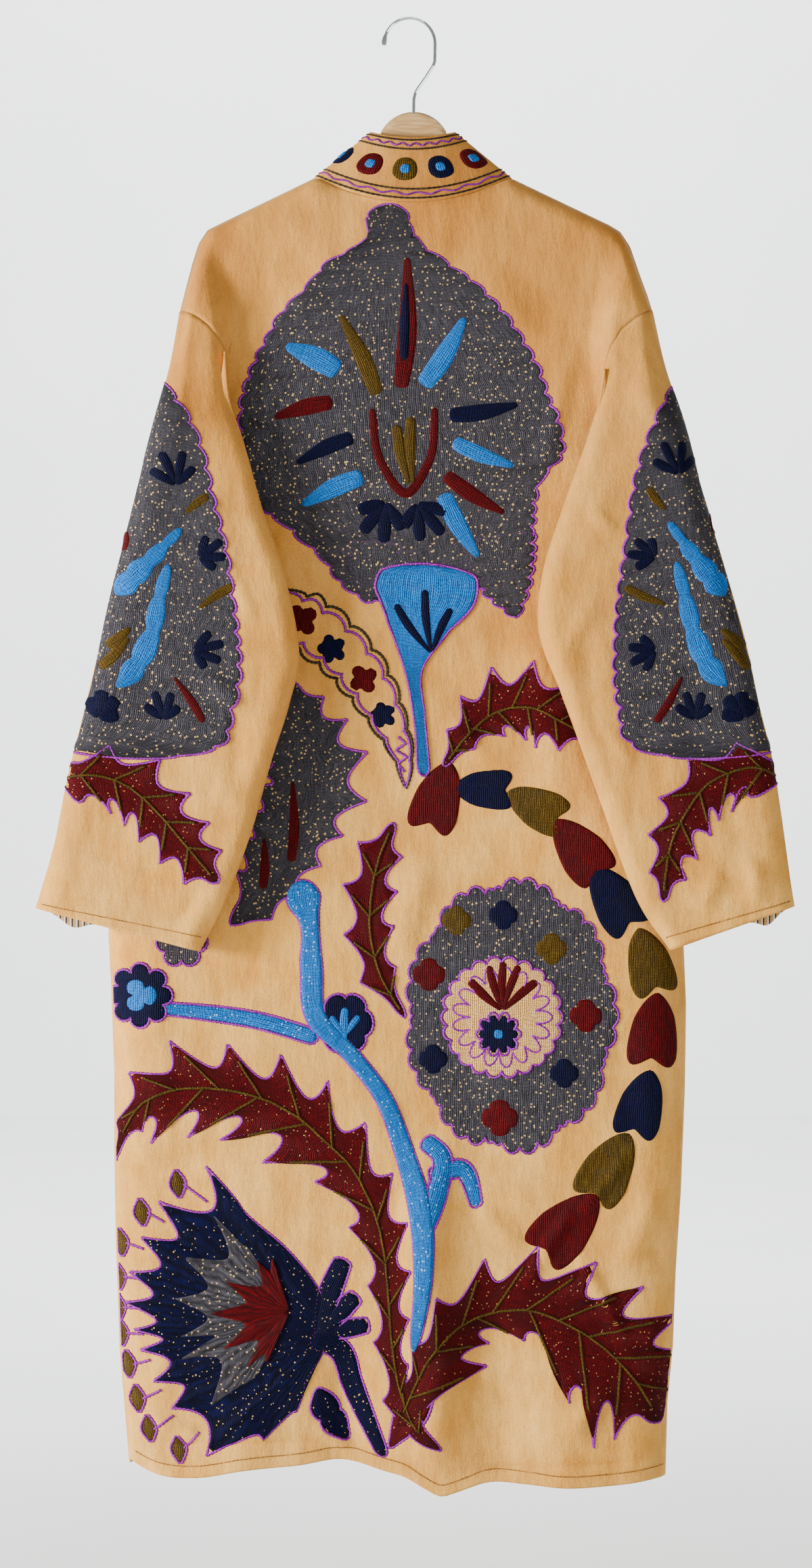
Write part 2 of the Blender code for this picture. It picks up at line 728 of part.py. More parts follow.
def add_hook(material):
    """The hook as a beveled wire whose tip swells into a small ball."""
    path = hook_path()
    line = bpy.data.curves.new("hanger_hook", "CURVE")
    line.dimensions = "3D"
    line.bevel_depth = WIRE_RADIUS
    line.bevel_resolution = 2
    line.use_fill_caps = True
    spline = line.splines.new("POLY")
    spline.points.add(len(path) - 1)
    spline.points.foreach_set("co", np.append(path, np.ones((len(path), 1)), axis=1).ravel())
    swell = np.ones(len(path))
    swell[:3] = (1.2, 1.7, 1.5)
    spline.points.foreach_set("radius", swell)
    line.materials.append(material)
    made = bpy.data.objects.new("hanger_hook", line)
    bpy.context.scene.collection.objects.link(made)


def add_hanger(material):
    """The wooden hanger with a blind hole in its head for the wire."""
    body = add_object("hanger_body", *hanger_mesh(), material)
    shape = bmesh.new()
    hole = {"radius1": SHANK_HOLE_RADIUS, "radius2": SHANK_HOLE_RADIUS, "depth": 2 * SHANK_DEPTH}
    bmesh.ops.create_cone(shape, cap_ends=True, segments=12, **hole)
    mesh = bpy.data.meshes.new("shank_hole")
    shape.to_mesh(mesh)
    shape.free()
    cutter = bpy.data.objects.new("shank_hole", mesh)
    cutter.location = (HEAD_CENTRE, 0, HEAD_HEIGHT + HEAD_RADIUS)
    cutter.hide_render = True
    cutter.display_type = "WIRE"
    bpy.context.scene.collection.objects.link(cutter)
    cut = body.modifiers.new("shank_hole", "BOOLEAN")
    cut.operation = "DIFFERENCE"
    cut.object = cutter


def main():
    for old in list(bpy.data.objects):
        bpy.data.objects.remove(old)
    velvet = add_material("velvet", VELVET, 0.85)
    lining = add_material("lining", LINING, 0.8)
    wood = add_material("wood", WOOD, 0.45)
    steel = add_material("steel", STEEL, 0.25, 1.0)
    add_object("back", *wall(back_points(), way=-1), velvet)
    for side, name in ((-1, "left"), (1, "right")):
        add_object(f"front_{name}", *wall(front_points(side), way=1), velvet)
        add_object(f"sleeve_{name}", *wall(sleeve_grid(side), closed=True), velvet)
        add_object(f"front_band_{name}", *wall(band_points(side)), velvet)
        add_object(f"cuff_lining_{name}", *wall(cuff_lining_points(side), LINING_THICK), lining)
    add_object("collar", *wall(collar_points()), velvet)
    add_hanger(wood)
    add_hook(steel)


main()
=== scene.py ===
# %% [markdown]
# # A long velvet coat on a hanger, seen from the back
#
# The real coat is cut from straight widths of silk velvet, the way robes have long been cut where
# cloth is woven narrow and no scrap is wasted: a back, two fronts, two wide sleeves set on below the
# shoulder, and one long band round the neck and down the front edges. It is then embroidered by hand.
# Here every piece of cloth is a surface given by formulas and short tables in millimetres. The packed
# model is loaded first, because all that follows is laid in its frame: the origin is the inner top
# of the hook, +Z is up, and -Y looks at the coat's back.

import bpy
import numpy as np
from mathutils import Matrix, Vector


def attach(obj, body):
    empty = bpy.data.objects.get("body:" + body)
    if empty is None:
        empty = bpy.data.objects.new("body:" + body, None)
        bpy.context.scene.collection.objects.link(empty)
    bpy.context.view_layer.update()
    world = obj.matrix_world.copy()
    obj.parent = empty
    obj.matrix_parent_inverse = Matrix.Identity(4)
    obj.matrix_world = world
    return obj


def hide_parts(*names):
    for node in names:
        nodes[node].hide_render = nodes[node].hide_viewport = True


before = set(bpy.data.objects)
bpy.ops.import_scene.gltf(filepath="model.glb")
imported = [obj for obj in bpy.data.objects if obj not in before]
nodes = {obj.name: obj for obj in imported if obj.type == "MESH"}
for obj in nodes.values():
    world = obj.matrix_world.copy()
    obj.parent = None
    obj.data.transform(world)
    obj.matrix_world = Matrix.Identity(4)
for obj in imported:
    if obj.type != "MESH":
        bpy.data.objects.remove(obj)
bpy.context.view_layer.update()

# %% [markdown]
# ## Tools for smooth forms
#
# A tailor's chalk line is a smooth curve through a few marks. These functions do the same: a table
# holds the marks, `curve` runs smoothly through them, and `rounded` and `eased` give the profiles of a
# folded edge and of a crease that fades out. They take whole arrays, so that thousands of points
# are placed at once.

# %% Curves and tables
MM = 0.001
CLOTH = 2.0 * MM
SEAM = 0.3 * MM
LAP = CLOTH + 1.2 * MM
FRONT_SEAM_GAP = 0.8 * MM
DROP_SEAM_GAP = 0.4 * MM
COLLAR_GAP = 0.15 * MM
BAND_SEAM_GAP = 0.7 * MM
CENTRE = 3.0 * MM

# Depths of the cloth, before and behind the hanger's plane.
CHEST_DEPTH = 20 * MM
HEM_DEPTH = 25 * MM
CHEST_END = 400 * MM
CHEST_TO_HEM = 900 * MM
TOP_ROUND = 16 * MM
SIDE_ROUND = 42 * MM

# The neck seam and the free edge of the collar, as ellipses round the neck.
NECK_HALF_WIDTH = 91 * MM
NECK_DEPTH = 26 * MM
NECK_LOW = -172 * MM
NECK_RISE = 24.5 * MM
FREE_HALF_WIDTH = 39 * MM
FREE_DEPTH = 14 * MM
FREE_LOW = -111 * MM
FREE_RISE = 6 * MM
BAND_TOP = -430 * MM
FRONT_HEM = -1332 * MM

LINING_THICK = 1.0 * MM
DRIFT = 1.1 * MM
FOLD_REACH = 26 * MM
SHOULDER_ROUND = 12 * MM
BOTH = ((-1, "left"), (1, "right"))


def places(x, y, z):
    """One array of places from arrays of x, y and z, each spread over the same grid."""
    return np.stack(np.broadcast_arrays(x, y, z), -1)


def table(columns, *rows):
    """A table in millimetres as a dictionary of named columns in metres."""
    values = np.array(rows, float).T * MM
    return dict(zip(columns.split(), values, strict=True))


def fold_table(*rows):
    """Folds or creases: the two ends of each one's line, its lift and its half width."""
    return table("from_across from_height to_across to_height lift half_width", *rows)


def joined(*tables):
    """Tables laid end to end, each starting where the one before it ends."""
    names = [name for name in tables[0] if all(name in t for t in tables)]
    return {name: np.concatenate([t[name] for t in tables]) for name in names}


def curve(at, places, values):
    """The values at the given places, on a smooth curve through the rows of a table."""
    slopes = np.gradient(values, places)
    at = np.clip(at, places[0], places[-1])
    row = np.clip(np.searchsorted(places, at, side="right") - 1, 0, len(places) - 2)
    step = places[row + 1] - places[row]
    t = (at - places[row]) / step
    start = values[row] * (1 + 2 * t) * (1 - t) ** 2 + slopes[row] * step * t * (1 - t) ** 2
    end = values[row + 1] * t**2 * (3 - 2 * t) + slopes[row + 1] * step * t**2 * (t - 1)
    return start + end


def rounded(distance):
    """A quarter circle's rise: 0 at the edge, where it starts upright, and 1 from 1 on."""
    return np.sqrt(np.clip(1 - (1 - np.clip(distance, 0, 1)) ** 2, 0, 1))


def eased(share):
    """A smooth step from 0 to 1."""
    share = np.clip(share, 0, 1)
    return share**2 * (3 - 2 * share)


# %% [markdown]
# ## The marks of the panels
#
# The real panels hang straight, so a few marks are enough: the side seams bow a little, the hem lies
# lowest right of the middle, and the deep armholes let the wide sleeves hang down over the back. The
# tables hold those seams as heights and places across, in millimetres. The folds are rows of a line, a
# lift and a half width: the one strong ridge at the hem comes from the way the coat swings on its hook.

# %% Seams, hem and folds
# The side seam from the hem to the armpit, for each side of the coat.
SIDE = {
    -1: table(
        "height across depth", (-1345, -257, 0), (-1300, -260.6, 0), (-1228, -266.8, 0),
        (-1124, -270.5, 0), (-1042, -271.8, 0), (-969, -271.8, 0), (-890, -274.9, 0), (-841, -277.3, 0),
        (-700, -256, 0), (-600, -241, 0), (-530, -230, 0),
    ),
    1: table(
        "height across depth", (-1345, 235.5, 0), (-1276, 237.3, 0), (-1223, 242.5, 0), (-1155, 245, 0),
        (-1083, 249.7, 0), (-989, 253.4, 0), (-910, 254.6, 0), (-858, 252.5, 0), (-700, 241, 0),
        (-600, 232, 0), (-530, 225.5, 0),
    ),
}
# The back's armhole edge from the armpit to the foot of the shoulder fold, under the sleeve.
ARMHOLE = {
    -1: table(
        "height across depth", (-484, -223.4, 0), (-479, -221.4, -11), (-465, -215, -18),
        (-440, -204, -22), (-390, -187, -26), (-345, -174, -32), (-325, -170, -36), (-310, -168.8, -39),
    ),
    1: table(
        "height across depth", (-484, 221.1, 0), (-479, 219.4, -11), (-465, 214, -18), (-440, 206, -22),
        (-395, 192, -26), (-358, 182, -32), (-340, 179, -36), (-326, 178, -39),
    ),
}
# The shoulder fold, from its foot up to the hanger's tip.
SHOULDER_FOLD = {
    -1: table(
        "height across depth", (-272, -171.3, -36), (-240, -179, -29), (-201, -193, -20),
        (-140, -200, -20),
    ),
    1: table(
        "height across depth", (-298, 176, -37), (-265, 180, -33), (-230, 188, -26), (-201, 199, -20),
        (-140, 206, -20),
    ),
}
# The seam of the dropped shoulder, from the fold's foot out to the end of the shoulder line.
DROP_SEAM = {
    -1: table("height across", (-297, -175.5), (-286, -184), (-279, -193), (-274, -203), (-271, -211.6)),
    1: table("height across", (-307, 184), (-290, 194), (-280, 206), (-273, 217), (-270, 223.6)),
}
# The fronts' armhole edges, from the armpit up to the end of the shoulder line.
FRONT_ARMHOLE = {
    -1: table(
        "height across depth", (-484, -223.4, 0), (-465, -216, 8), (-440, -209.5, 13), (-390, -199, 18),
        (-345, -196, 20), (-310, -198, 20), (-285, -205, 20), (-271, -211.6, 20),
    ),
    1: table(
        "height across depth", (-484, 221.1, 0), (-465, 214, 8), (-440, 209, 13), (-390, 204, 18),
        (-345, 203, 20), (-310, 207, 20), (-285, 215, 20), (-270, 223.6, 20),
    ),
}
# The top line of the panels: down the outer curve and along the shoulders to the neck.
TOP_LINE = table(
    "across height", (-211.6, -271), (-206, -249), (-200, -226), (-194, -207), (-186, -195), (-176, -190),
    (-88, -147.5), (94, -147.5), (184, -190.5), (194, -196.5), (203, -210), (213, -239), (219, -255),
    (223.6, -270),
)
BACK_HEM = table(
    "across height", (-262, -1325), (-228, -1340), (-197, -1342), (-153, -1335), (-105, -1331),
    (-59, -1326), (-23, -1336), (-3, -1342), (14, -1352), (28, -1359), (44, -1355), (69, -1347),
    (107, -1348), (140, -1351), (189, -1349), (240, -1342),
)
# Soft folds of the body, each a ridge towards the viewer, or a trough where its lift is below 0.
BACK_FOLDS = fold_table(
    (14, -1010, 24, -1380, 13, 24), (-60, -1180, -58, -1380, -7, 22), (76, -1150, 84, -1380, -5, 24),
    (150, -1230, 140, -1380, 5, 26), (-150, -1260, -170, -1380, 5, 30), (18, -767, -12, -870, 4, 12),
    (-258, -1295, -206, -1325, -4, 12), (235, -1071, 189, -1155, 4, 12), (-262, -1068, -182, -1052, -3, 9),
    (110, -560, 150, -740, 4, 22), (-110, -560, -140, -700, 4, 22),
)
FRONT_FOLDS = fold_table(
    (-150, -700, -165, -1380, -6, 30), (-105, -900, -100, -1380, 5, 22), (150, -760, 160, -1380, -6, 30),
    (112, -950, 104, -1380, 5, 22),
)
# The band's front stretch from the shoulder down to its straight run: half of it, from the centre.
NECKLINE = table(
    "seam_height seam_out free_height free_out", (-147.5, 91, -105, 39), (-156, 90, -113, 37.5),
    (-180, 87, -145, 33), (-220, 82, -200, 25), (-280, 76, -275, 16), (-350, 68, -352, 7),
    (-430, 64, -430, 2.2),
)
# Small creases that only the velvet shows, in the same form as the folds.
BACK_CREASES = fold_table(
    (60, -1092, 104, -1130, 3.6, 8), (140, -1306, 190, -1254, 3.8, 9), (214, -1128, 236, -1142, -2.0, 8),
    (-66, -1306, -50, -1336, 2.0, 8), (-120, -930, -205, -1010, 1.4, 16), (-30, -500, -60, -700, 1.5, 20),
    (40, -880, 70, -1080, -1.8, 18), (-20, -960, -40, -1120, 1.6, 16), (190, -900, 205, -1050, -1.6, 14),
    (-235, -880, -225, -1040, 1.8, 12), (-10, -190, -14, -330, -1.2, 16), (60, -200, 110, -300, 1.6, 14),
    (-60, -200, -110, -290, 1.6, 14), (150, -1130, 205, -1230, 4.0, 6), (205, -1040, 150, -1110, 3.2, 6),
    (95, -1180, 160, -1080, 3.0, 6), (120, -560, 190, -420, 3.4, 8), (150, -300, 120, -430, 3.0, 9),
    (-120, -320, -150, -420, 2.6, 8), (-250, -1120, -180, -1150, 3.0, 6), (-240, -820, -190, -840, 2.6, 6),
    (30, -640, 90, -700, 2.6, 7), (-270, -1312, -60, -1310, -2.4, 4), (-70, -1306, 30, -1338, -2.4, 4),
    (20, -1336, 245, -1328, -2.4, 4), (-240, -1290, -190, -1300, 3.2, 6), (-90, -1294, -54, -1312, 3.6, 6),
)
FRONT_CREASES = fold_table(
    (-200, -640, -150, -820, 1.8, 14), (-180, -1000, -120, -1150, 1.6, 16),
    (-90, -1180, -130, -1330, -2.0, 14), (180, -620, 140, -840, 1.8, 14),
    (170, -1010, 110, -1170, 1.6, 16), (90, -1160, 130, -1320, -2.0, 14),
)
SLEEVE_CREASES = {
    -1: fold_table(
        (-196, -812, -178, -850, 2.2, 6), (-215, -838, -190, -800, -1.6, 6),
        (-250, -560, -225, -690, -1.6, 14), (-290, -640, -300, -760, 1.4, 10),
        (-180, -420, -160, -520, 1.6, 12), (-230, -730, -262, -800, 1.6, 12),
        (-190, -600, -150, -640, 3.0, 6), (-168, -500, -140, -560, 2.8, 6),
        (-200, -470, -170, -450, 2.4, 6), (-320, -758, -190, -800, -1.3, 2.5),
    ),
    1: fold_table(
        (300, -770, 330, -800, 1.8, 8), (250, -560, 262, -700, -1.6, 14), (180, -420, 160, -520, 1.6, 12),
        (230, -640, 250, -760, 1.4, 12), (290, -700, 300, -780, -1.4, 10), (200, -300, 240, -430, 1.5, 14),
        (170, -540, 130, -600, 3.0, 6), (175, -650, 205, -690, 2.8, 6), (160, -450, 190, -480, 2.4, 6),
        (318, -758, 190, -800, -1.3, 2.5),
    ),
}

# %% [markdown]
# ## Where the cloth lies
#
# A hung coat is a flat bag: two layers some 40 mm apart that come together along the side seams and
# roll over the shoulders. So one function gives the depth of the cloth at any place, for the back and
# for the fronts. It starts from the even depth, adds the folds, then draws the cloth to its seam with
# a quarter-circle profile, which is what pressed seams in thick velvet look like. Velvet is never
# quite still, so a slow drift of about a millimetre is added to the even parts.

# %% The depth of the panels
def fold_lift(folds, x, z):
    """The lift of all folds: a bell across each fold's line, fading out at the line's ends."""
    lift = np.zeros(np.broadcast(x, z).shape)
    for fx, fz, tx, tz, high, half in zip(*folds.values(), strict=True):
        along = np.hypot(tx - fx, tz - fz)
        ux, uz = (tx - fx) / along, (tz - fz) / along
        t = ((x - fx) * ux + (z - fz) * uz) / along
        aside = (x - fx) * uz - (z - fz) * ux
        fade = eased(t / 0.3) * eased((1 - t) / 0.3)
        lift = lift + high * fade * np.exp(-((aside / half) ** 2))
    return lift


def drift(x, z):
    """A slow wander of the cloth of about a millimetre: three crossed waves, 270 to 65 mm long."""
    first = np.sin(23 * x + 9 * z + 1.0) * np.sin(11 * z - 4 * x)
    second = np.sin(47 * x - 21 * z + 2.0) * np.sin(31 * z + 0.7)
    third = np.sin(96 * x + 38 * z) * np.sin(71 * z - 25 * x + 1.3)
    return DRIFT * (first + 0.5 * second + 0.25 * third)


def top_height(x):
    """The height of the panels' top line, which dips in a shallow bow at the neck."""
    share = np.clip((x - CENTRE) / NECK_HALF_WIDTH, -1, 1)
    dip = (NECK_LOW + NECK_RISE * share**2) - (NECK_LOW + NECK_RISE)
    return np.interp(x, TOP_LINE["across"], TOP_LINE["height"]) + dip


def below_top(x, z):
    """The distance below the top line, square to it."""
    step = 6 * MM
    lean = (top_height(x + step) - top_height(x - step)) / (2 * step)
    lean = np.where(np.abs(x - CENTRE) < NECK_HALF_WIDTH, 0, lean)
    return (top_height(x) - z) / np.sqrt(1 + lean**2)


def neck_depth(x):
    """How far the neck seam stands behind the shoulder line."""
    share = np.clip((x - CENTRE) / NECK_HALF_WIDTH, -1, 1)
    return -NECK_DEPTH * np.sqrt(1 - share**2)


def edge_of(side, front):
    """The curve where the panel's depth is given, from the hem to the top."""
    if front:
        return joined(SIDE[side], FRONT_ARMHOLE[side])
    return joined(SIDE[side], ARMHOLE[side], SHOULDER_FOLD[side])


def panel_depth(x, z, front=False):
    """The cloth's y at a place on the back or the fronts: even depth, folds, and rounded edges."""
    way = 1 if front else -1
    low = eased((-z - CHEST_END) / CHEST_TO_HEM)
    depth = way * (CHEST_DEPTH + (HEM_DEPTH - CHEST_DEPTH) * low)
    for folds in (FRONT_FOLDS, FRONT_CREASES) if front else (BACK_FOLDS, BACK_CREASES):
        depth = depth + way * fold_lift(folds, x, z)
    depth = depth + way * drift(x, z)
    for side in (-1, 1):
        edge = edge_of(side, front)
        inside = side * (np.interp(z, edge["height"], edge["across"]) - x)
        given = np.interp(z, edge["height"], edge["depth"])
        armpit = edge["height"][len(SIDE[side]["height"])]
        reach = SIDE_ROUND + (SHOULDER_ROUND - SIDE_ROUND) * eased((z - armpit) / 0.12)
        pressed = 1 - rounded(inside / reach)
        soft = 1 - eased(inside / FOLD_REACH + 0.5)
        high = eased((z - armpit) / 0.1 - 1)
        depth = depth + (given - depth) * (pressed + (soft - pressed) * high)
    at_top = np.zeros_like(depth) if front else neck_depth(x)
    share = 1 - rounded(below_top(x, z) / TOP_ROUND)
    return depth + (at_top - depth) * share

# %% [markdown]
# ## Walls of cloth
#
# Velvet is about 2 mm thick with its pile and lining. Each panel is a grid of points through the middle
# of the cloth, and `wall` moves it half the thickness both ways and closes the edges, as the turned
# and stitched edges of the real pieces are closed.

# %% Walls and objects
def wall(middle, thick=CLOTH, closed=False, way=0):
    """A mesh of a cloth wall: the grid moved half its thickness both ways and joined at its edges.

    Where way is -1 or 1 the wall stays on that side of the hanger's plane.
    """
    rows, columns = middle.shape[:2]
    along = np.gradient(middle, axis=0)
    if closed:
        across = np.roll(middle, -1, 1) - np.roll(middle, 1, 1)
    else:
        across = np.gradient(middle, axis=1)
    normal = np.cross(along, across)
    normal /= np.maximum(np.linalg.norm(normal, axis=2, keepdims=True), 1e-12)
    points = np.concatenate([middle + normal * thick / 2, middle - normal * thick / 2])
    if way:
        points[..., 1] = way * np.maximum(way * points[..., 1], SEAM / 2)
    index = np.arange(2 * rows * columns).reshape(2, rows, columns)
    if closed:
        index = np.concatenate([index, index[:, :, :1]], axis=2)
    near, far = index

    def quads(a, b, c, d):
        return np.stack([a, b, c, d], -1).reshape(-1, 4)

    faces = [
        quads(near[:-1, :-1], near[:-1, 1:], near[1:, 1:], near[1:, :-1]),
        quads(far[:-1, :-1], far[1:, :-1], far[1:, 1:], far[:-1, 1:]),
        quads(near[0, 1:], near[0, :-1], far[0, :-1], far[0, 1:]),
        quads(near[-1, :-1], near[-1, 1:], far[-1, 1:], far[-1, :-1]),
    ]
    if not closed:
        faces += [
            quads(near[:-1, 0], near[1:, 0], far[1:, 0], far[:-1, 0]),
            quads(near[1:, -1], near[:-1, -1], far[:-1, -1], far[1:, -1]),
        ]
    return points.reshape(-1, 3), np.concatenate(faces)


def add_mesh(name, points, faces, uv=None):
    """An object from arrays of points and four-sided faces, smooth, at the origin."""
    mesh = bpy.data.meshes.new(name)
    mesh.vertices.add(len(points))
    mesh.vertices.foreach_set("co", np.ascontiguousarray(points, np.float32).ravel())
    mesh.loops.add(faces.size)
    mesh.loops.foreach_set("vertex_index", np.ascontiguousarray(faces, np.int32).ravel())
    mesh.polygons.add(len(faces))
    mesh.polygons.foreach_set("loop_start", np.arange(0, faces.size, faces.shape[1], dtype=np.int32))
    mesh.update(calc_edges=True)
    mesh.validate()
    mesh.shade_smooth()
    if uv is not None:
        layer = mesh.uv_layers.new(name="stitch")
        layer.data.foreach_set("uv", np.ascontiguousarray(uv[faces.ravel()], np.float32).ravel())
    made = bpy.data.objects.new(name, mesh)
    bpy.context.scene.collection.objects.link(made)
    return made


def outward(points, faces):
    """The faces, turned over if the closed form they make has a volume below 0."""
    a, b, c, d = (points[faces[:, k]] for k in range(4))
    volume = (np.cross(b, c) * a).sum() + (np.cross(c, d) * a).sum()
    return faces if volume > 0 else faces[:, ::-1]


def area_of(points, faces):
    """The area of the faces in square metres."""
    a, b, c, d = (points[faces[:, k]] for k in range(4))
    return np.linalg.norm(np.cross(c - a, d - b), axis=1).sum() / 2


def add_cloth(name, middle, node, flat, thick=CLOTH, closed=False, way=0, slot="velvet"):
    """One piece of cloth in place of its CAD node, with the facts of its cut."""
    points, faces = wall(middle, thick, closed, way)
    faces = outward(points, faces)
    made = add_mesh(name, points, faces)
    half = area_of(points, faces) / 2
    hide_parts(node)
    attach(made, "root")
    share = half / (flat[0] * flat[1])
    print(f"{name}: {2 * len(faces)} triangles, cut {half:.3f} m2, {share:.2f} of its flat size")
    return made


# %% [markdown]
# ## The back and the fronts
#
# Each panel is one width of velvet. Its grid runs from the hem to the top line and from one edge to
# the other, closer together near the edges, where the cloth rolls over.

# %% Back and front grids
def closer(count, squeeze):
    """Shares t - squeeze sin(2 pi t) / (2 pi) for even t: even steps, drawn together at both ends."""
    t = np.linspace(0, 1, count)
    return t - squeeze * np.sin(2 * np.pi * t) / (2 * np.pi)


def back_points():
    """The back panel's grid: x between its two edges at each height, y from `panel_depth`."""
    v = closer(232, 0.55)[:, None]
    u = closer(134, 0.65)[None, :]
    corner = {side: joined(SIDE[side], ARMHOLE[side], DROP_SEAM[side]) for side in (-1, 1)}
    edges = {}
    for side in (-1, 1):
        top = DROP_SEAM[side]["height"][-1]
        hem = np.interp(SIDE[side]["across"][0], BACK_HEM["across"], BACK_HEM["height"])
        edges[side] = np.interp(hem + v * (top - hem), corner[side]["height"], corner[side]["across"])
    x = edges[-1] + u * (edges[1] - edges[-1])
    x_top = edges[-1][-1] + u * (edges[1][-1] - edges[-1][-1])
    hem = curve(x, BACK_HEM["across"], BACK_HEM["height"])
    z = hem + v * (top_height(x_top) - hem)
    return places(x, panel_depth(x, z), z)


def neckline(side, height, edge):
    """The x of the band's seam or free edge on the front, at the given heights."""
    rows = slice(None, None, -1)
    out = curve(height, NECKLINE[edge + "_height"][rows], NECKLINE[edge + "_out"][rows])
    return CENTRE + side * out


def front_points(side):
    """A front panel's grid, from its side edge to the seam of the band."""
    v = closer(200, 0.55)[:, None]
    u = closer(50, 0.5)[None, :]
    edge = joined(SIDE[side], FRONT_ARMHOLE[side])
    top = FRONT_ARMHOLE[side]["height"][-1]
    outer = np.interp(FRONT_HEM + v * (top - FRONT_HEM), edge["height"], edge["across"])
    neck = NECKLINE["seam_height"][0]
    inner = neckline(side, FRONT_HEM + v * (neck - FRONT_HEM), "seam") + side * BAND_SEAM_GAP
    x = outer + u * (inner - outer)
    x_top = outer[-1] + u * (inner[-1] - outer[-1])
    z = FRONT_HEM + v * (top_height(x_top) - FRONT_HEM)
    return places(x, panel_depth(x, z, front=True), z)


CUTS = {"back": (0.54, 1.25), "front": (0.27, 1.16), "sleeve": (0.53, 0.57)}
velvet = [add_cloth("velvet_back", back_points(), "back", CUTS["back"], way=-1)]
for side, name in BOTH:
    panel = front_points(side)
    velvet.append(add_cloth(f"velvet_front_{name}", panel, f"front_{name}", CUTS["front"], way=1))

# %% [markdown]
# ## The collar and the front bands
#
# One long strip is sewn round the neck opening and down both front edges. At the back of the neck it stands
# up and leans in, so its seam and its free edge are two ellipses round the neck; over the shoulders it
# folds down, and on the fronts it lies flat. The surface is ruled between the two edges, with the free edge
# standing a little off the cloth on the fronts.

# %% The collar and bands
# How far the free edge stands off the cloth, and how the rows draw together over the shoulder.
FREE_LIFT = 2 * MM
CHEST_SQUEEZE = 1.4


def neck_line(turn, half_width, depth, low, rise):
    """Half an ellipse round the back of the neck, lowest in its middle."""
    x = CENTRE - half_width * np.cos(turn)
    return np.stack([x, -depth * np.sin(turn), low + rise * np.cos(turn) ** 2], -1)


def collar_points(across=22, back=120, down=60):
    """The collar's grid: from one side of the chest over the shoulders and round the back neck."""
    b = np.linspace(0, 1, across)[None, :, None]
    turn = np.linspace(0, np.pi, back)
    seam = neck_line(turn, NECK_HALF_WIDTH, NECK_DEPTH, NECK_LOW, NECK_RISE)
    free = neck_line(turn, FREE_HALF_WIDTH, FREE_DEPTH, FREE_LOW, FREE_RISE)
    share = np.linspace(0, 1, down)[1:] ** CHEST_SQUEEZE
    heights = {}
    for edge in ("seam", "free"):
        column = NECKLINE[edge + "_height"]
        heights[edge] = np.interp(share, np.linspace(0, 1, len(column)) ** CHEST_SQUEEZE, column)
    ends = {-1: [], 1: []}
    for side, line in ends.items():
        at = neckline(side, heights["seam"], "seam")
        on_cloth = panel_depth(at, heights["seam"], front=True)
        for edge in ("seam", "free"):
            x = neckline(side, heights[edge], edge)
            y = on_cloth + FREE_LIFT * eased(share / 0.4) * (edge == "free")
            line.append(np.stack([x, y, heights[edge]], -1))
    seam = np.concatenate([ends[-1][0][::-1], seam, ends[1][0]])
    free = np.concatenate([ends[-1][1][::-1], free, ends[1][1]])
    lift = np.array([0, 0, COLLAR_GAP])
    return seam[:, None] * (1 - b) + free[:, None] * b + lift


def band_points(side, across=14, down=200):
    """A front band's grid, from the end of the collar down to the hem."""
    v = np.linspace(0, 1, down)[:, None]
    b = np.linspace(0, 1, across)[None, :]
    z = BAND_TOP - SEAM + v * (FRONT_HEM - BAND_TOP) + 0 * b
    seam = neckline(side, z, "seam")
    free = neckline(side, z, "free")
    x = seam + b * (free - seam)
    y = panel_depth(seam, z, front=True) + FREE_LIFT * b
    return np.stack([x, y, z], -1)


collar = collar_points()
velvet.append(add_cloth("velvet_collar", collar, "collar", (0.075, 0.84)))
for side, name in BOTH:
    strip = band_points(side)
    velvet.append(add_cloth(f"velvet_band_{name}", strip, f"front_band_{name}", (0.075, 0.92)))

# %% [markdown]
# ## The sleeves
#
# A dropped sleeve is a wide flat tube. It leaves the armhole as a ring, folds along its outer and inner
# edge, and hangs in front of the back panel with the back's cloth showing between the two. The table
# gives eleven sections from the shoulder to the cuff, and the tube is three arcs at each: the near
# layer, the short layer under the inner fold, and the far layer. At the top the arcs are pulled on
# to the armhole's seam.

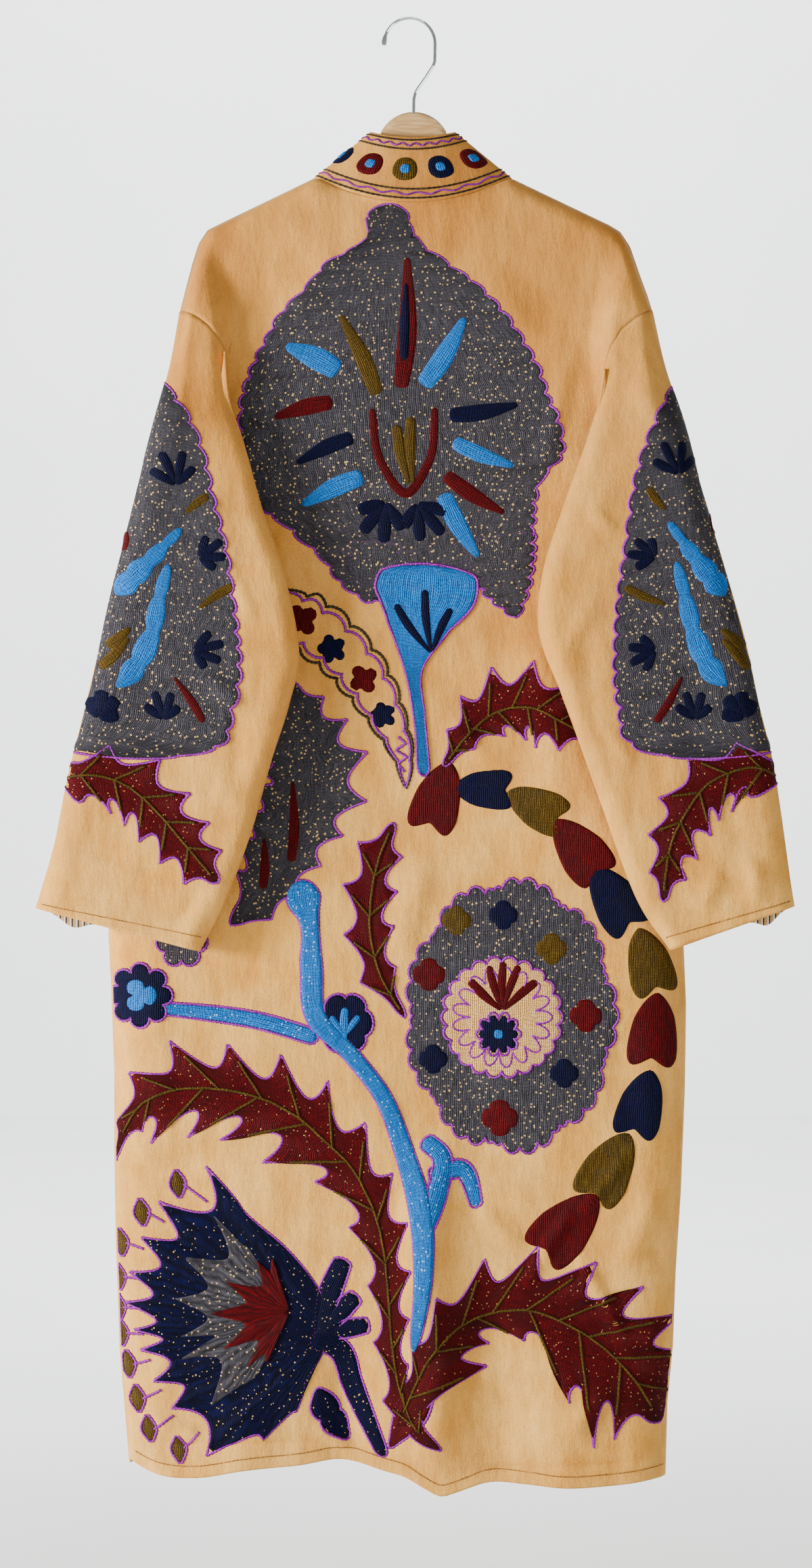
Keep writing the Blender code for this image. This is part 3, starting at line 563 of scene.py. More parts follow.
# %% Sleeve sections and folds
# Each sleeve by its sections from the shoulder seam to the cuff: the outer fold, the inner fold,
# the underarm line, and the depths of the near layer, the far layer and the two folds.
SECTION = "outer_x outer_z inner_x inner_z under_x under_y under_z near far outer_y inner_y"
SLEEVE = {
    -1: table(
        SECTION, (-211.6, -271, -168.8, -310, -229, 0, -488, -39, 14, 0, -39),
        (-220.3, -322.6, -165.1, -353.6, -232, -14, -497, -44, 8, -12, -39),
        (-235.2, -379.6, -150.9, -398.2, -231, -27, -512, -49, -6, -24, -40),
        (-251.3, -447.8, -136, -452.8, -220, -33, -534, -53, -20, -34, -42),
        (-267.4, -513.6, -116.8, -508.6, -205, -33, -566, -56, -30, -40, -44),
        (-283.5, -586.1, -101.9, -583, -190, -33, -614, -58, -33, -44, -45),
        (-297.8, -646.2, -110.6, -632.6, -182, -33, -662, -58, -33, -45, -45),
        (-311.4, -700.8, -127.3, -685.3, -183, -33, -708, -57, -33, -45, -45),
        (-323.2, -759.7, -144.7, -747.3, -190, -33, -758, -56, -33, -44, -44),
        (-334.4, -798.8, -167, -807.4, -206, -33, -808, -54, -33, -43, -43),
        (-340.6, -819.2, -192.4, -858.3, -224, -33, -850, -52, -33, -42, -42),
    ),
    1: table(
        SECTION, (223.6, -270, 178, -326, 225, 0, -488, -39, 14, 0, -39),
        (234.8, -322.6, 173.4, -356, 228, -14, -497, -44, 8, -12, -39),
        (252.1, -378.4, 159.1, -402, 227, -27, -512, -49, -6, -24, -40),
        (268.3, -443.5, 139.3, -457.8, 220, -33, -534, -53, -20, -34, -42),
        (286.9, -507.4, 122.6, -511.7, 208, -33, -566, -56, -30, -40, -44),
        (306.1, -576.8, 118.8, -567.5, 196, -33, -610, -58, -33, -44, -45),
        (317.9, -632.6, 138.1, -620.2, 196, -33, -654, -58, -33, -45, -45),
        (330.3, -683.4, 155.4, -667.3, 203, -33, -694, -57, -33, -45, -45),
        (337.7, -728.7, 174, -719.4, 214, -33, -736, -56, -33, -44, -44),
        (346.4, -790.7, 207.5, -809.3, 236, -33, -808, -54, -33, -43, -43),
        (350.7, -817.4, 238.5, -857, 262, -33, -850, -52, -33, -42, -42),
    ),
}
# Soft folds of the sleeves' near layer, in the same form as the body's.
SLEEVE_FOLDS = {
    -1: fold_table(
        (-182, -708, -139, -726, 4, 9), (-156, -635, -154, -713, -4, 10), (-215, -330, -250, -500, 4, 16),
        (-180, -812, -205, -850, 4, 8),
    ),
    1: fold_table(
        (214, -298, 215, -377, 4, 12), (158, -554, 163, -670, -4, 10), (261, -825, 286, -780, 4, 9),
        (315, -767, 316, -820, 4, 10),
    ),
}
SLEEVE_FADE = 3.0
CUFF_DIP = 9 * MM
CUFF_DIP_PLACE = {-1: 0.72, 1: 0.74}
CUFF_DIP_WIDTH = 0.12
CUFF_DIP_ROWS = 1.5
UNDER_DEPTH = -33 * MM
INNER_ROUND = 16 * MM
OUTER_ROUND = 22 * MM
DROP_BULGE = 6 * MM
# The last quarter of the near layer's seam, where it sinks behind the fold at its foot.
FOOT_FROM = 0.75
# From which share of its arc the seam under the arm is drawn to the underarm line, in x, y and z, and
# up to which share of its own arc the far seam is.
UNDER_FROM = (0.6, 0.95, 0.8)
FAR_UNTIL = 0.35


def shoulder_ring(side, near, under, far):
    """The armhole seam as the sleeve's first ring, from the end of the shoulder line round."""
    drop, hole, front = DROP_SEAM[side], ARMHOLE[side], FRONT_ARMHOLE[side]
    foot = {name: hole[name][-1:] for name in ("height", "across")}
    drop = joined(foot, drop)
    height = np.interp(1 - near, np.linspace(0, 1, len(drop["height"])), drop["height"])
    across = np.interp(height, drop["height"], drop["across"])
    sunk = eased((near - FOOT_FROM) / (1 - FOOT_FROM))
    depth = panel_depth(across, height) - 0.5 * LAP * sunk
    gap = DROP_SEAM_GAP * (1 + 0.6 * sunk)
    ring = [np.stack([across, depth, height - gap], -1)]
    armpit = hole["height"][0]
    height = hole["height"][-1] + under * (armpit - hole["height"][-1])
    across = np.interp(height, hole["height"], hole["across"])
    depth = np.interp(height, hole["height"], hole["depth"]) - LAP * (0.5 + 0.5 * eased(under / 0.08))
    ring.append(np.stack([across + side * SEAM, depth, height - 1.6 * DROP_SEAM_GAP], -1))
    height = armpit + far * (front["height"][-1] - armpit)
    across = np.interp(height, front["height"], front["across"])
    depth = panel_depth(across, height, front=True)
    ring.append(np.stack([across + side * FRONT_SEAM_GAP, depth, height - DROP_SEAM_GAP], -1))
    under_start = np.array([[SLEEVE[side][k][0] for k in ("under_x", "under_y", "under_z")]])
    pull = np.stack([eased((under - start) / (1 - start)) for start in UNDER_FROM], -1)
    ring[1] = ring[1] + (under_start - ring[1][-1:]) * pull
    ring[2] = ring[2] + (under_start - ring[2][:1]) * eased((FAR_UNTIL - far[:, None]) / FAR_UNTIL)
    return ring


def across_section(s, start, end, r):
    """Places at the shares r between two named lines of the sections, and the width between them."""
    dx, dz = s[end + "_x"] - s[start + "_x"], s[end + "_z"] - s[start + "_z"]
    return s[start + "_x"] + r * dx, s[start + "_z"] + r * dz, np.hypot(dx, dz)


def sleeve_arcs(side, rows, near, under, far):
    """The sleeve as three arcs: its near layer, the layer under the inner fold, and its far layer."""
    place = np.arange(len(SLEEVE[side]["near"]), dtype=float)
    s = {name: curve(rows, place, column)[:, None] for name, column in SLEEVE[side].items()}
    deep = s["under_y"]

    r = near[None, :]
    x, z, width = across_section(s, "outer", "inner", r)
    y = s["near"] + (s["outer_y"] - s["near"]) * (1 - rounded(r * width / OUTER_ROUND))
    y = y + (s["inner_y"] - s["near"]) * (1 - rounded((1 - r) * width / INNER_ROUND))
    middle = 4 * r * (1 - r)
    folds = fold_lift(SLEEVE_FOLDS[side], x, z) + fold_lift(SLEEVE_CREASES[side], x, z)
    y = y - (folds + drift(x, z)) * eased(middle)
    z = z + DROP_BULGE * middle * (1 - eased(rows[:, None]))
    arcs = [places(x, y, z)]

    r = under[None, :]
    x, z, width = across_section(s, "inner", "under", r)
    layer = np.minimum(deep, UNDER_DEPTH) * (1 - r) + deep * r
    y = layer + (s["inner_y"] - layer) * (1 - rounded(r * width / INNER_ROUND))
    arcs.append(places(x, y, z))

    r = far[None, :]
    x, z, width = across_section(s, "under", "outer", r)
    layer = deep + (s["far"] - deep) * eased(r * 2)
    y = layer + (s["outer_y"] - layer) * (1 - rounded((1 - r) * width / OUTER_ROUND))
    end = place[-1]
    dip = np.exp(-(((r - CUFF_DIP_PLACE[side]) / CUFF_DIP_WIDTH) ** 2))
    z = z - CUFF_DIP * dip * eased((rows[:, None] - end + CUFF_DIP_ROWS) / CUFF_DIP_ROWS)
    arcs.append(places(x, y, z))
    return arcs


def sleeve_points(side, rows, near, under, far):
    """The sleeve's arcs, drawn at their top to the armhole seam and fading to their own form."""
    arcs = sleeve_arcs(side, rows, near, under, far)
    start = sleeve_arcs(side, np.zeros(1), near, under, far)
    ring = shoulder_ring(side, near, under, far)
    left = (1 - eased(rows / SLEEVE_FADE))[:, None, None]
    return [arc + (seam - first) * left for arc, first, seam in zip(arcs, start, ring, strict=True)]


def spread(count):
    """Shares from 0 to 1, closer together at the ends."""
    return (1 - np.cos(np.pi * np.linspace(0, 1, count))) / 2


def sleeve_grid(side):
    """The whole sleeve as one closed tube of rings, even from the shoulder seam to the cuff."""
    rows = np.concatenate([np.linspace(0, 1.8, 20, endpoint=False), np.linspace(1.8, 10, 112)])
    near, under, far = spread(56), spread(30), spread(46)
    near_arc, under_arc, far_arc = sleeve_points(side, rows, near, under, far)
    return np.concatenate([near_arc[:, :-1], under_arc[:, :-1], far_arc[:, :-1]], axis=1)


def cuff_lining_points(side):
    """The strip of lining inside the far layer where the cuff hangs lowest: its points, moved in."""
    rows = np.linspace(9.0, 10.0, 12)
    place = CUFF_DIP_PLACE[side]
    far = np.linspace(place - 0.2, place + 0.18, 40)
    strip = sleeve_points(side, rows, np.array([0.5, 0.6]), np.array([0.5, 0.6]), far)[2]
    inset = (CLOTH + LINING_THICK) / 2 + 2 * SEAM
    return strip - np.array([0, inset, 0])


lining = []
for side, name in BOTH:
    tube = sleeve_grid(side)
    velvet.append(add_cloth(f"velvet_sleeve_{name}", tube, f"sleeve_{name}", CUTS["sleeve"], closed=True))
    strip = cuff_lining_points(side)
    facts = {"thick": LINING_THICK, "slot": "lining"}
    lining.append(add_cloth(f"lining_{name}", strip, f"cuff_lining_{name}", (0.06, 0.06), **facts))

# %% [markdown]
# ## Velvet, lining, wood and wire
#
# Silk velvet is a short, dense pile: it is darker where one looks straight into it and bright along the
# edges, so the shader gets an amber sheen over a rough base. Its colour also carries painted shade: darker
# near the shoulders and paler lower down. Stroked pile lies unevenly, which shows as broad soft patches;
# their lighter and darker streaks are partly painted highlights of the crushed pile. The stitching is floss
# silk: fine parallel bands with a soft shine.

# %% Shader tools
def colour_of(code):
    """Linear colour values from a hex code in sRGB."""
    part = np.array([int(code[k : k + 2], 16) for k in (1, 3, 5)]) / 255
    linear = np.where(part <= 0.04045, part / 12.92, ((part + 0.055) / 1.055) ** 2.4)
    return (*linear.tolist(), 1.0)


def add_node(material, kind, values=None, links=None, stops=(), out=0, **facts):
    """Adds a node and gives one output: its facts, input values, links and, for a ramp, its stops."""
    made = material.node_tree.nodes.new("ShaderNode" + kind)
    for name, value in facts.items():
        setattr(made, name, value)
    for name, value in (values or {}).items():
        made.inputs[name].default_value = value
    for name, source in (links or {}).items():
        material.node_tree.links.new(source, made.inputs[name])
    for k, (place, code) in enumerate(stops):
        step = made.color_ramp.elements[k] if k < 2 else made.color_ramp.elements.new(1.0)
        step.position = place
        step.color = colour_of(code)
    return made.outputs[out]


def new_material(name):
    """A material with a principled shader: itself, the shader's sockets and its Object coords."""
    material = bpy.data.materials.new(name)
    material.use_nodes = True
    sockets = material.node_tree.nodes["Principled BSDF"].inputs
    return material, sockets, add_node(material, "TexCoord", out="Object")


MIX = {"data_type": "RGBA", "out": 2}


# %% [markdown]
# The four materials of the cloth and the hanger follow, each named for what it is and how it was made.

# %% Velvet, lining, wood and wire
def silk_velvet():
    """Short-pile silk velvet, woven and cut, its pile stroked down: painted shade makes it darker near the
    shoulders and paler lower down, with soft stroked patches that are partly painted highlights, and an
    amber sheen."""
    material, sockets, place = new_material("silk_velvet_cut_pile")
    broad = add_node(material, "TexNoise", {"Scale": 1 / (160 * MM), "Detail": 2}, {"Vector": place})
    patchy = {"Scale": 1 / (50 * MM), "Detail": 5, "Roughness": 0.62}
    patch = add_node(material, "TexNoise", patchy, {"Vector": place})
    pile = add_node(material, "TexNoise", {"Scale": 1 / (1.1 * MM), "Detail": 2}, {"Vector": place})
    # Painted shade: the colour runs from a darker tone at the top to a paler one lower down, set by height
    # with a broad noise in the mix.
    height = add_node(material, "SeparateXYZ", links={"Vector": place}, out="Z")
    down = add_node(material, "Math", {1: -0.62}, {0: height}, operation="MULTIPLY")
    down = add_node(material, "Math", {1: 0.5}, {0: broad, 2: down}, operation="MULTIPLY_ADD")
    stops = ((0.30, "#101010"), (0.80, "#F0F0F0"))
    share = add_node(material, "ValToRGB", links={"Fac": down}, stops=stops)
    # The darker ramp paints shade on the upper cloth and the paler ramp gives the lower cloth; each also
    # changes at random with its noise.
    shaded_top_stops = ((0.30, "#C07C2E"), (0.72, "#DC9C4A"), (0.52, "#CE8C3A"))
    deep = add_node(material, "ValToRGB", links={"Fac": broad}, stops=shaded_top_stops)
    pale_stops = ((0.30, "#E6A03C"), (0.75, "#F6BE64"), (0.55, "#EEAE4C"))
    pale = add_node(material, "ValToRGB", links={"Fac": patch}, stops=pale_stops)
    base = add_node(material, "Mix", links={0: share, 6: deep, 7: pale}, **MIX)
    stops = ((0.35, "#CFCFCF"), (0.65, "#FFFFFF"))
    speck = add_node(material, "ValToRGB", links={"Fac": pile}, stops=stops)
    ground = add_node(material, "Mix", {0: 0.55}, {6: base, 7: speck}, blend_type="MULTIPLY", **MIX)
    # Stroked patches as lighter and darker streaks: partly the pile's own uneven lie, partly painted
    # highlights of the crushed pile. The same noise also gives the soft bump.
    slanting = {"Rotation": (0, 0.6, 0), "Scale": (1, 1, 0.35)}
    slant = add_node(material, "Mapping", slanting, {"Vector": place})
    stroked = {"Scale": 1 / (22 * MM), "Detail": 5, "Roughness": 0.65}
    stroke = add_node(material, "TexNoise", stroked, {"Vector": slant})
    stops = ((0.36, "#DED2C2"), (0.62, "#FFFFFF"))
    stroked_patches_and_highlights = add_node(material, "ValToRGB", links={"Fac": stroke}, stops=stops)
    ground = add_node(material, "Mix", {0: 0.7}, {6: ground, 7: stroked_patches_and_highlights}, blend_type="MULTIPLY", **MIX)
    material.node_tree.links.new(ground, sockets["Base Color"])
    sockets["Roughness"].default_value = 0.82
    sockets["Specular IOR Level"].default_value = 0.18
    sockets["Sheen Weight"].default_value = 0.2
    sockets["Sheen Roughness"].default_value = 0.42
    sockets["Sheen Tint"].default_value = colour_of("#FFC47C")
    soft = add_node(material, "Bump", {"Distance": 4 * MM, "Strength": 0.6}, {"Height": stroke})
    tips = {"Distance": 0.4 * MM, "Strength": 0.6}
    fine = add_node(material, "Bump", tips, {"Height": pile, "Normal": soft})
    material.node_tree.links.new(fine, sockets["Normal"])
    return material


def pinstriped_lining():
    """Plain cotton lining, woven with an even pinstripe along the sleeve, 5.5 mm apart."""
    material, sockets, place = new_material("woven_cotton_pinstripe")
    across = add_node(material, "SeparateXYZ", links={"Vector": place}, out="X")
    count = add_node(material, "Math", {1: 1 / (5.5 * MM)}, {0: across}, operation="MULTIPLY")
    turn = add_node(material, "Math", links={0: count}, operation="FRACT")
    stops = ((0.42, "#B48A52"), (0.74, "#F2ECE0"), (0.46, "#14100C"))
    stripes = add_node(material, "ValToRGB", links={"Fac": turn}, stops=stops)
    material.node_tree.links.new(stripes, sockets["Base Color"])
    sockets["Roughness"].default_value = 0.8
    weave = add_node(material, "TexNoise", {"Scale": 1 / (0.6 * MM), "Detail": 2}, {"Vector": place})
    fine = add_node(material, "Bump", {"Distance": 0.2 * MM, "Strength": 0.5}, {"Height": weave})
    material.node_tree.links.new(fine, sockets["Normal"])
    return material


def beech_wood():
    """Turned and sawn beech, waxed: fine grain along the hanger and small dark flecks."""
    material, sockets, place = new_material("waxed_beech")
    long = add_node(material, "Mapping", {"Scale": (0.08, 1.0, 1.0)}, {"Vector": place})
    grainy = {"Scale": 1 / (1.8 * MM), "Detail": 5, "Roughness": 0.6}
    grain = add_node(material, "TexNoise", grainy, {"Vector": long})
    stops = ((0.3, "#A87840"), (0.7, "#D6AE74"), (0.5, "#C89A5C"))
    tone = add_node(material, "ValToRGB", links={"Fac": grain}, stops=stops)
    material.node_tree.links.new(tone, sockets["Base Color"])
    sockets["Roughness"].default_value = 0.42
    fine = add_node(material, "Bump", {"Distance": 0.2 * MM, "Strength": 0.4}, {"Height": grain})
    material.node_tree.links.new(fine, sockets["Normal"])
    return material


def bright_wire():
    """Drawn steel wire, chromed: near white, with faint drawing marks in its gloss."""
    material, sockets, place = new_material("chromed_wire")
    drawn = {"Scale": 1 / (4 * MM), "Detail": 4, "Roughness": 0.7}
    marks = add_node(material, "TexNoise", drawn, {"Vector": place})
    gloss = add_node(material, "ValToRGB", links={"Fac": marks}, stops=((0.3, "#2E2E2E"), (0.7, "#5A5A5A")))
    material.node_tree.links.new(gloss, sockets["Roughness"])
    tone = add_node(material, "ValToRGB", links={"Fac": marks}, stops=((0.3, "#B9BBBD"), (0.7, "#D6D7D9")))
    material.node_tree.links.new(tone, sockets["Base Color"])
    sockets["Metallic"].default_value = 1.0
    return material


def dress(objects, material):
    """Gives the objects this one material."""
    for made in objects:
        made.data.materials.clear()
        made.data.materials.append(material)


dress(velvet, silk_velvet())
dress(lining, pinstriped_lining())
dress([nodes["hanger_body"]], beech_wood())
dress([nodes["hanger_hook"]], bright_wire())
print("materials", len(bpy.data.materials))

# %% [markdown]
# ## The embroidery: how a stitched shape is made
#
# The real coat is worked all over in silk: large flowers, leaves and stems, each filled with close
# laid stitches and edged with a line of chain stitch, in the old Central Asian way. The motifs are
# drawn on the cloth freehand, so here too each is drawn by a rule and not copied: a leaf is a spine with
# two half widths, scalloped by a wave; a flower is a circle whose radius dips between its petals. A
# filled shape is a thin closed pad that stands 1 mm proud of the velvet and sinks in at its edge.

# %% Leaves, flowers and hearts
PIXEL = 0.62 * MM
PHOTO_ZERO_X = 605.32
PHOTO_ZERO_Y = 19.68
PAD_STEP = 3.5 * MM
SCALLOP_DEPTH = 6.5 * MM
HEART_SLIM = 0.54
HEART_TIP = 14.2
LEAST_HALF = 0.3 * MM
LEAF_END = 0.05
FAN_START = 0.03


def from_photo(x, y):
    """Across and height in metres of a place given in the photo's pixels."""
    return (np.asarray(x, float) - PHOTO_ZERO_X) * PIXEL, (PHOTO_ZERO_Y - np.asarray(y, float)) * PIXEL


def photo(columns, *rows):
    """A table of named columns in the photo's pixels."""
    return dict(zip(columns.split(), np.array(rows, float).T, strict=True))


def leaf_spine(*rows):
    """A leaf's table: places along its spine, with the half widths on its left and its right."""
    return photo("x y left right", *rows)


def short_marks(*rows):
    """A table of short marks: where each starts and ends, and its half width."""
    return photo("x0 y0 x1 y1 half", *rows)


def spine_of(rows):
    """A leaf's spine in metres, and the distance along it at each row."""
    across, height = from_photo(rows["x"], rows["y"])
    steps = np.hypot(np.diff(across), np.diff(height))
    return across, height, np.concatenate([[0], np.cumsum(steps)])


def leaf_at(rows, t, b, lobes=(0, 0), bite=0.0, pointed=False, lean=0.0, scallops=0, grow=1.0):
    """Places on a leaf at the shares t along its spine and b across it, from -1 to 1.

    place = spine(t) + b half(t) aside + lean b^2 half(t) along, where half is the table's half width
    times (1 - bite + bite wave) and wave is sqrt|sin(pi n t)| for n round lobes a side, or
    1 - |sin(pi n t)|^0.8 for pointed ones. Scallops are small round arcs on top of that. Left, where
    b is above 0, is as one walks along the spine.
    """
    t, b = np.broadcast_arrays(np.asarray(t, float), np.asarray(b, float))
    across, height, length = spine_of(rows)
    at = t * length[-1]
    x, z = curve(at, length, across), curve(at, length, height)
    step = 0.01 * length[-1]
    dx = curve(at + step, length, across) - curve(at - step, length, across)
    dz = curve(at + step, length, height) - curve(at - step, length, height)
    size = np.hypot(dx, dz)
    half = np.where(b > 0, curve(at, length, rows["left"]), curve(at, length, rows["right"])) * PIXEL
    count = np.where(b > 0, lobes[0], lobes[1])
    turn = np.abs(np.sin(np.pi * count * t))
    wave = np.where(count > 0, 1 - turn**0.8 if pointed else np.sqrt(turn), 1)
    half = half * (1 - bite + bite * wave)
    if scallops:
        half = half - SCALLOP_DEPTH * (1 - np.sqrt(np.abs(np.sin(np.pi * scallops * t))))
    half = np.maximum(half * rounded(np.minimum(t, 1 - t) / LEAF_END) * grow, LEAST_HALF)
    forward = lean * b**2 * half
    return x - b * half * dz / size + forward * dx / size, z + b * half * dx / size + forward * dz / size


def flat_top(shape):
    """The rise of a pad: 1 all over and 0 along its border."""
    rise = np.zeros(shape)
    rise[1:-1, 1:-1] = 1
    return rise


def leaf_pad(rows, **style):
    """A leaf as a grid of places with its rise and its stitch coordinates."""
    length = spine_of(rows)[2][-1]
    wide = (rows["left"] + rows["right"]).max() * PIXEL
    t = np.linspace(0, 1, int(np.clip(length / PAD_STEP, 10, 190)))[:, None]
    b = np.linspace(-1, 1, int(np.clip(wide / PAD_STEP, 5, 120)))[None, :]
    x, z = leaf_at(rows, t, b, **style)
    return {"x": x, "z": z, "rise": flat_top(x.shape), "u": b * wide / 2 + 0 * x, "v": t * length + 0 * x}


def leaf_edge(rows, **style):
    """The closed line round a leaf."""
    t = np.linspace(0, 1, 500)
    left = leaf_at(rows, t, 1.0, **style)
    right = leaf_at(rows, t[::-1], -1.0, **style)
    return np.concatenate([left[0], right[0]]), np.concatenate([left[1], right[1]])


def fan_at(base, rows, t, b, teeth, bite):
    """Places on a fan: t turns from its first ray to its last, b runs out from its base.

    place = base + b ray(t) (1 - bite(t) |sin(pi n t)|^0.8), a pointed tooth at each of n + 1 rays.
    """
    t, b = np.broadcast_arrays(np.asarray(t, float), np.asarray(b, float))
    base_x, base_z = from_photo(*base)
    tip_x, tip_z = from_photo(rows["x"], rows["y"])
    angle = np.unwrap(np.arctan2(tip_z - base_z, tip_x - base_x))
    size = np.hypot(tip_x - base_x, tip_z - base_z)
    share = np.linspace(0, 1, len(angle))
    turn = curve(t, share, angle)
    dip = bite * np.interp(t, share, rows["bite"]) * np.abs(np.sin(np.pi * teeth * t)) ** 0.8
    ray = curve(t, share, size) * (1 - dip)
    return base_x + b * ray * np.cos(turn), base_z + b * ray * np.sin(turn)


def round_edge(x, y, radius, petals=0, bite=0.0, tall=1.0, turn=0.0, scallops=0):
    """The closed line round a flower: radius (1 - bite + bite sqrt|cos(n a / 2)|) at the angle a,
    less small round scallops."""
    angle = np.linspace(0, 2 * np.pi, 480 if scallops else 240, endpoint=False)
    wave = np.sqrt(np.abs(np.cos(petals * (angle - turn) / 2)))
    reach = radius * PIXEL * (1 - bite + bite * wave)
    if scallops:
        reach = reach - SCALLOP_DEPTH * (1 - np.sqrt(np.abs(np.cos(scallops * angle / 2))))
    across, height = from_photo(x, y)
    return across + reach * np.cos(angle), height + tall * reach * np.sin(angle)


def heart_edge(x, y, tip_x, tip_y, count=160):
    """The closed line of a heart round a place, with its tip at another.

    At the angle a it is 16 slim sin(a)^1.5 wide and 13 cos(a) - 4 cos(2a) - 1.5 cos(3a) high, the
    sine with its sign, in units of which 14.2 lead from its middle to its tip.
    """
    a = np.linspace(0, 2 * np.pi, count, endpoint=False)
    wide = 16 * HEART_SLIM * np.sign(np.sin(a)) * np.abs(np.sin(a)) ** 1.5
    high = 13 * np.cos(a) - 4 * np.cos(2 * a) - 1.5 * np.cos(3 * a)
    centre, tip = np.array(from_photo(x, y)), np.array(from_photo(tip_x, tip_y))
    down = (tip - centre) / HEART_TIP
    aside = np.array([-down[1], down[0]])
    return centre[0] - high * down[0] + wide * aside[0], centre[1] - high * down[1] + wide * aside[1]


def round_pad(edge, middle=None):
    """A pad inside a closed line: a square grid drawn out to a disc, then to the line's own radius."""
    x, z = edge
    cx, cz = (x.mean(), z.mean()) if middle is None else middle
    wide = max(np.ptp(x), np.ptp(z))
    count = int(np.clip(wide / PAD_STEP, 7, 130))
    u, v = np.meshgrid(np.linspace(-1, 1, count), np.linspace(-1, 1, count), indexing="ij")
    across, up = u * np.sqrt(1 - v**2 / 2), v * np.sqrt(1 - u**2 / 2)
    share, angle = np.hypot(across, up), np.arctan2(up, across)
    line_angle = np.unwrap(np.arctan2(z - cz, x - cx))
    line_radius = np.hypot(x - cx, z - cz)
    turned = line_angle[0] + np.mod(angle - line_angle[0], 2 * np.pi)
    order = np.argsort(np.mod(line_angle - line_angle[0], 2 * np.pi))
    known = line_angle[0] + np.mod(line_angle - line_angle[0], 2 * np.pi)[order]
    radius = np.interp(turned, known, line_radius[order], period=2 * np.pi) * share
    x, z = cx + radius * np.cos(angle), cz + radius * np.sin(angle)
    return {"x": x, "z": z, "rise": flat_top(x.shape), "u": x - cx, "v": z - cz}


# %% [markdown]
# ## Where the stitches lie
#
# The stitches follow the cloth, so each place of a motif is asked for the cloth's middle and the way
# out of it. On the back both come from the depth function. A sleeve is a tube, so the place is first
# turned into a section number and a share across the section; a share below 0 is past the outer
# fold and lies on the far layer, and in this way one leaf wraps round the sleeve's edge.

# %% The cloth under the stitches
MAP_ROWS = 401
MAP_HALF = 200


def on_back(x, z):
    """The middle of the back's cloth and the way out of it, at places across and up."""
    edge = {side: joined(SIDE[side], ARMHOLE[side], SHOULDER_FOLD[side]) for side in (-1, 1)}
    limit = [np.interp(z, edge[side]["height"], edge[side]["across"]) - side * 3 * MM for side in (-1, 1)]
    x = np.clip(x, limit[0], limit[1])
    step = 1.0 * MM
    dx = (panel_depth(x + step, z) - panel_depth(x - step, z)) / (2 * step)
    dz = (panel_depth(x, z + step) - panel_depth(x, z - step)) / (2 * step)
    way = np.stack([dx, -np.ones_like(dx), dz], -1)
    way /= np.linalg.norm(way, axis=-1, keepdims=True)
    return np.stack([x, panel_depth(x, z), z], -1), way


def sampled(values, low, left, part, over):
    """Values between a grid's points: part of the way from row low on, and over from column left on."""
    first = values[low, left] * (1 - over) + values[low, left + 1] * over
    second = values[low + 1, left] * (1 - over) + values[low + 1, left + 1] * over
    return first * (1 - part) + second * part


def sleeve_map(side):
    """A fine grid of one sleeve over its sections and its share: below 0 far layer, above 0 near."""
    rows, share = np.linspace(0, 10, MAP_ROWS), np.linspace(0, 1, MAP_HALF + 1)
    near, _, far = sleeve_points(side, rows, share, np.array([0.4, 0.6]), share)
    grid = np.concatenate([far[:, :-1], near], axis=1)
    way = np.cross(np.gradient(grid, axis=0), np.gradient(grid, axis=1))
    way /= np.maximum(np.linalg.norm(way, axis=2, keepdims=True), 1e-12)
    way *= np.sign(-way[MAP_ROWS // 2, MAP_HALF + 130, 1])
    return grid, way


def on_sleeve(side):
    """A function like `on_back` for one sleeve: the section that a place lies on, then its share."""
    grid, way = sleeve_map(side)
    k = np.linspace(0, 10, MAP_ROWS)
    s = {name: curve(k, np.arange(11.0), column) for name, column in SLEEVE[side].items()}
    ux, uz = s["inner_x"] - s["outer_x"], s["inner_z"] - s["outer_z"]
    width = np.hypot(ux, uz)
    beyond = np.hypot(s["outer_x"] - s["under_x"], s["outer_z"] - s["under_z"])

    def find(x, z):
        flat_x, flat_z = np.ravel(x), np.ravel(z)
        px, pz = flat_x[:, None] - s["outer_x"], flat_z[:, None] - s["outer_z"]
        off = (px * uz - pz * ux) / width
        best = np.clip(np.abs(off).argmin(axis=1), 1, MAP_ROWS - 2)
        line = np.arange(len(best))
        slope = (off[line, best + 1] - off[line, best - 1]) / 2
        row = np.clip(best - off[line, best] / slope, 1, MAP_ROWS - 2)
        low = row.astype(int)
        part = row - low
        along = (px * ux + pz * uz) / width**2
        r = along[line, low] * (1 - part) + along[line, low + 1] * part
        r = np.where(r < 0, r * (width / beyond)[low], r)
        column = np.clip(MAP_HALF + MAP_HALF * r, 1, 2 * MAP_HALF - 1.1)
        left = column.astype(int)
        over = (column - left)[:, None]
        part = part[:, None]
        shape = np.shape(x) + (3,)
        found = [sampled(values, low, left, part, over) for values in (grid, way)]
        return found[0].reshape(shape), found[1].reshape(shape)

    return find


PLACES = {"back": on_back, "sleeve_left": on_sleeve(-1), "sleeve_right": on_sleeve(1)}
print("places for stitches", list(PLACES))

# %% [markdown]
# ## Laying the stitches
#
# `sew` makes a pad, and `chain` makes a line of chain stitch: a flattened cord that narrows where one
# link of thread is caught by the next, every 3.8 mm. Both only collect arrays. All pads of one colour
# become one object in the end, as the worker too finishes one colour of silk before the next.

# %% Pads and chains
LINK = 3.8 * MM
CHAIN_WIDTH = 3.2 * MM
PAD_HEIGHT = 0.9 * MM
SIDES = 4
# How far the marks on a leaf lie above it, and how far a line lies below it where fills meet.
ON_LEAF = 0.7 * MM
FIRST = -0.4 * MM
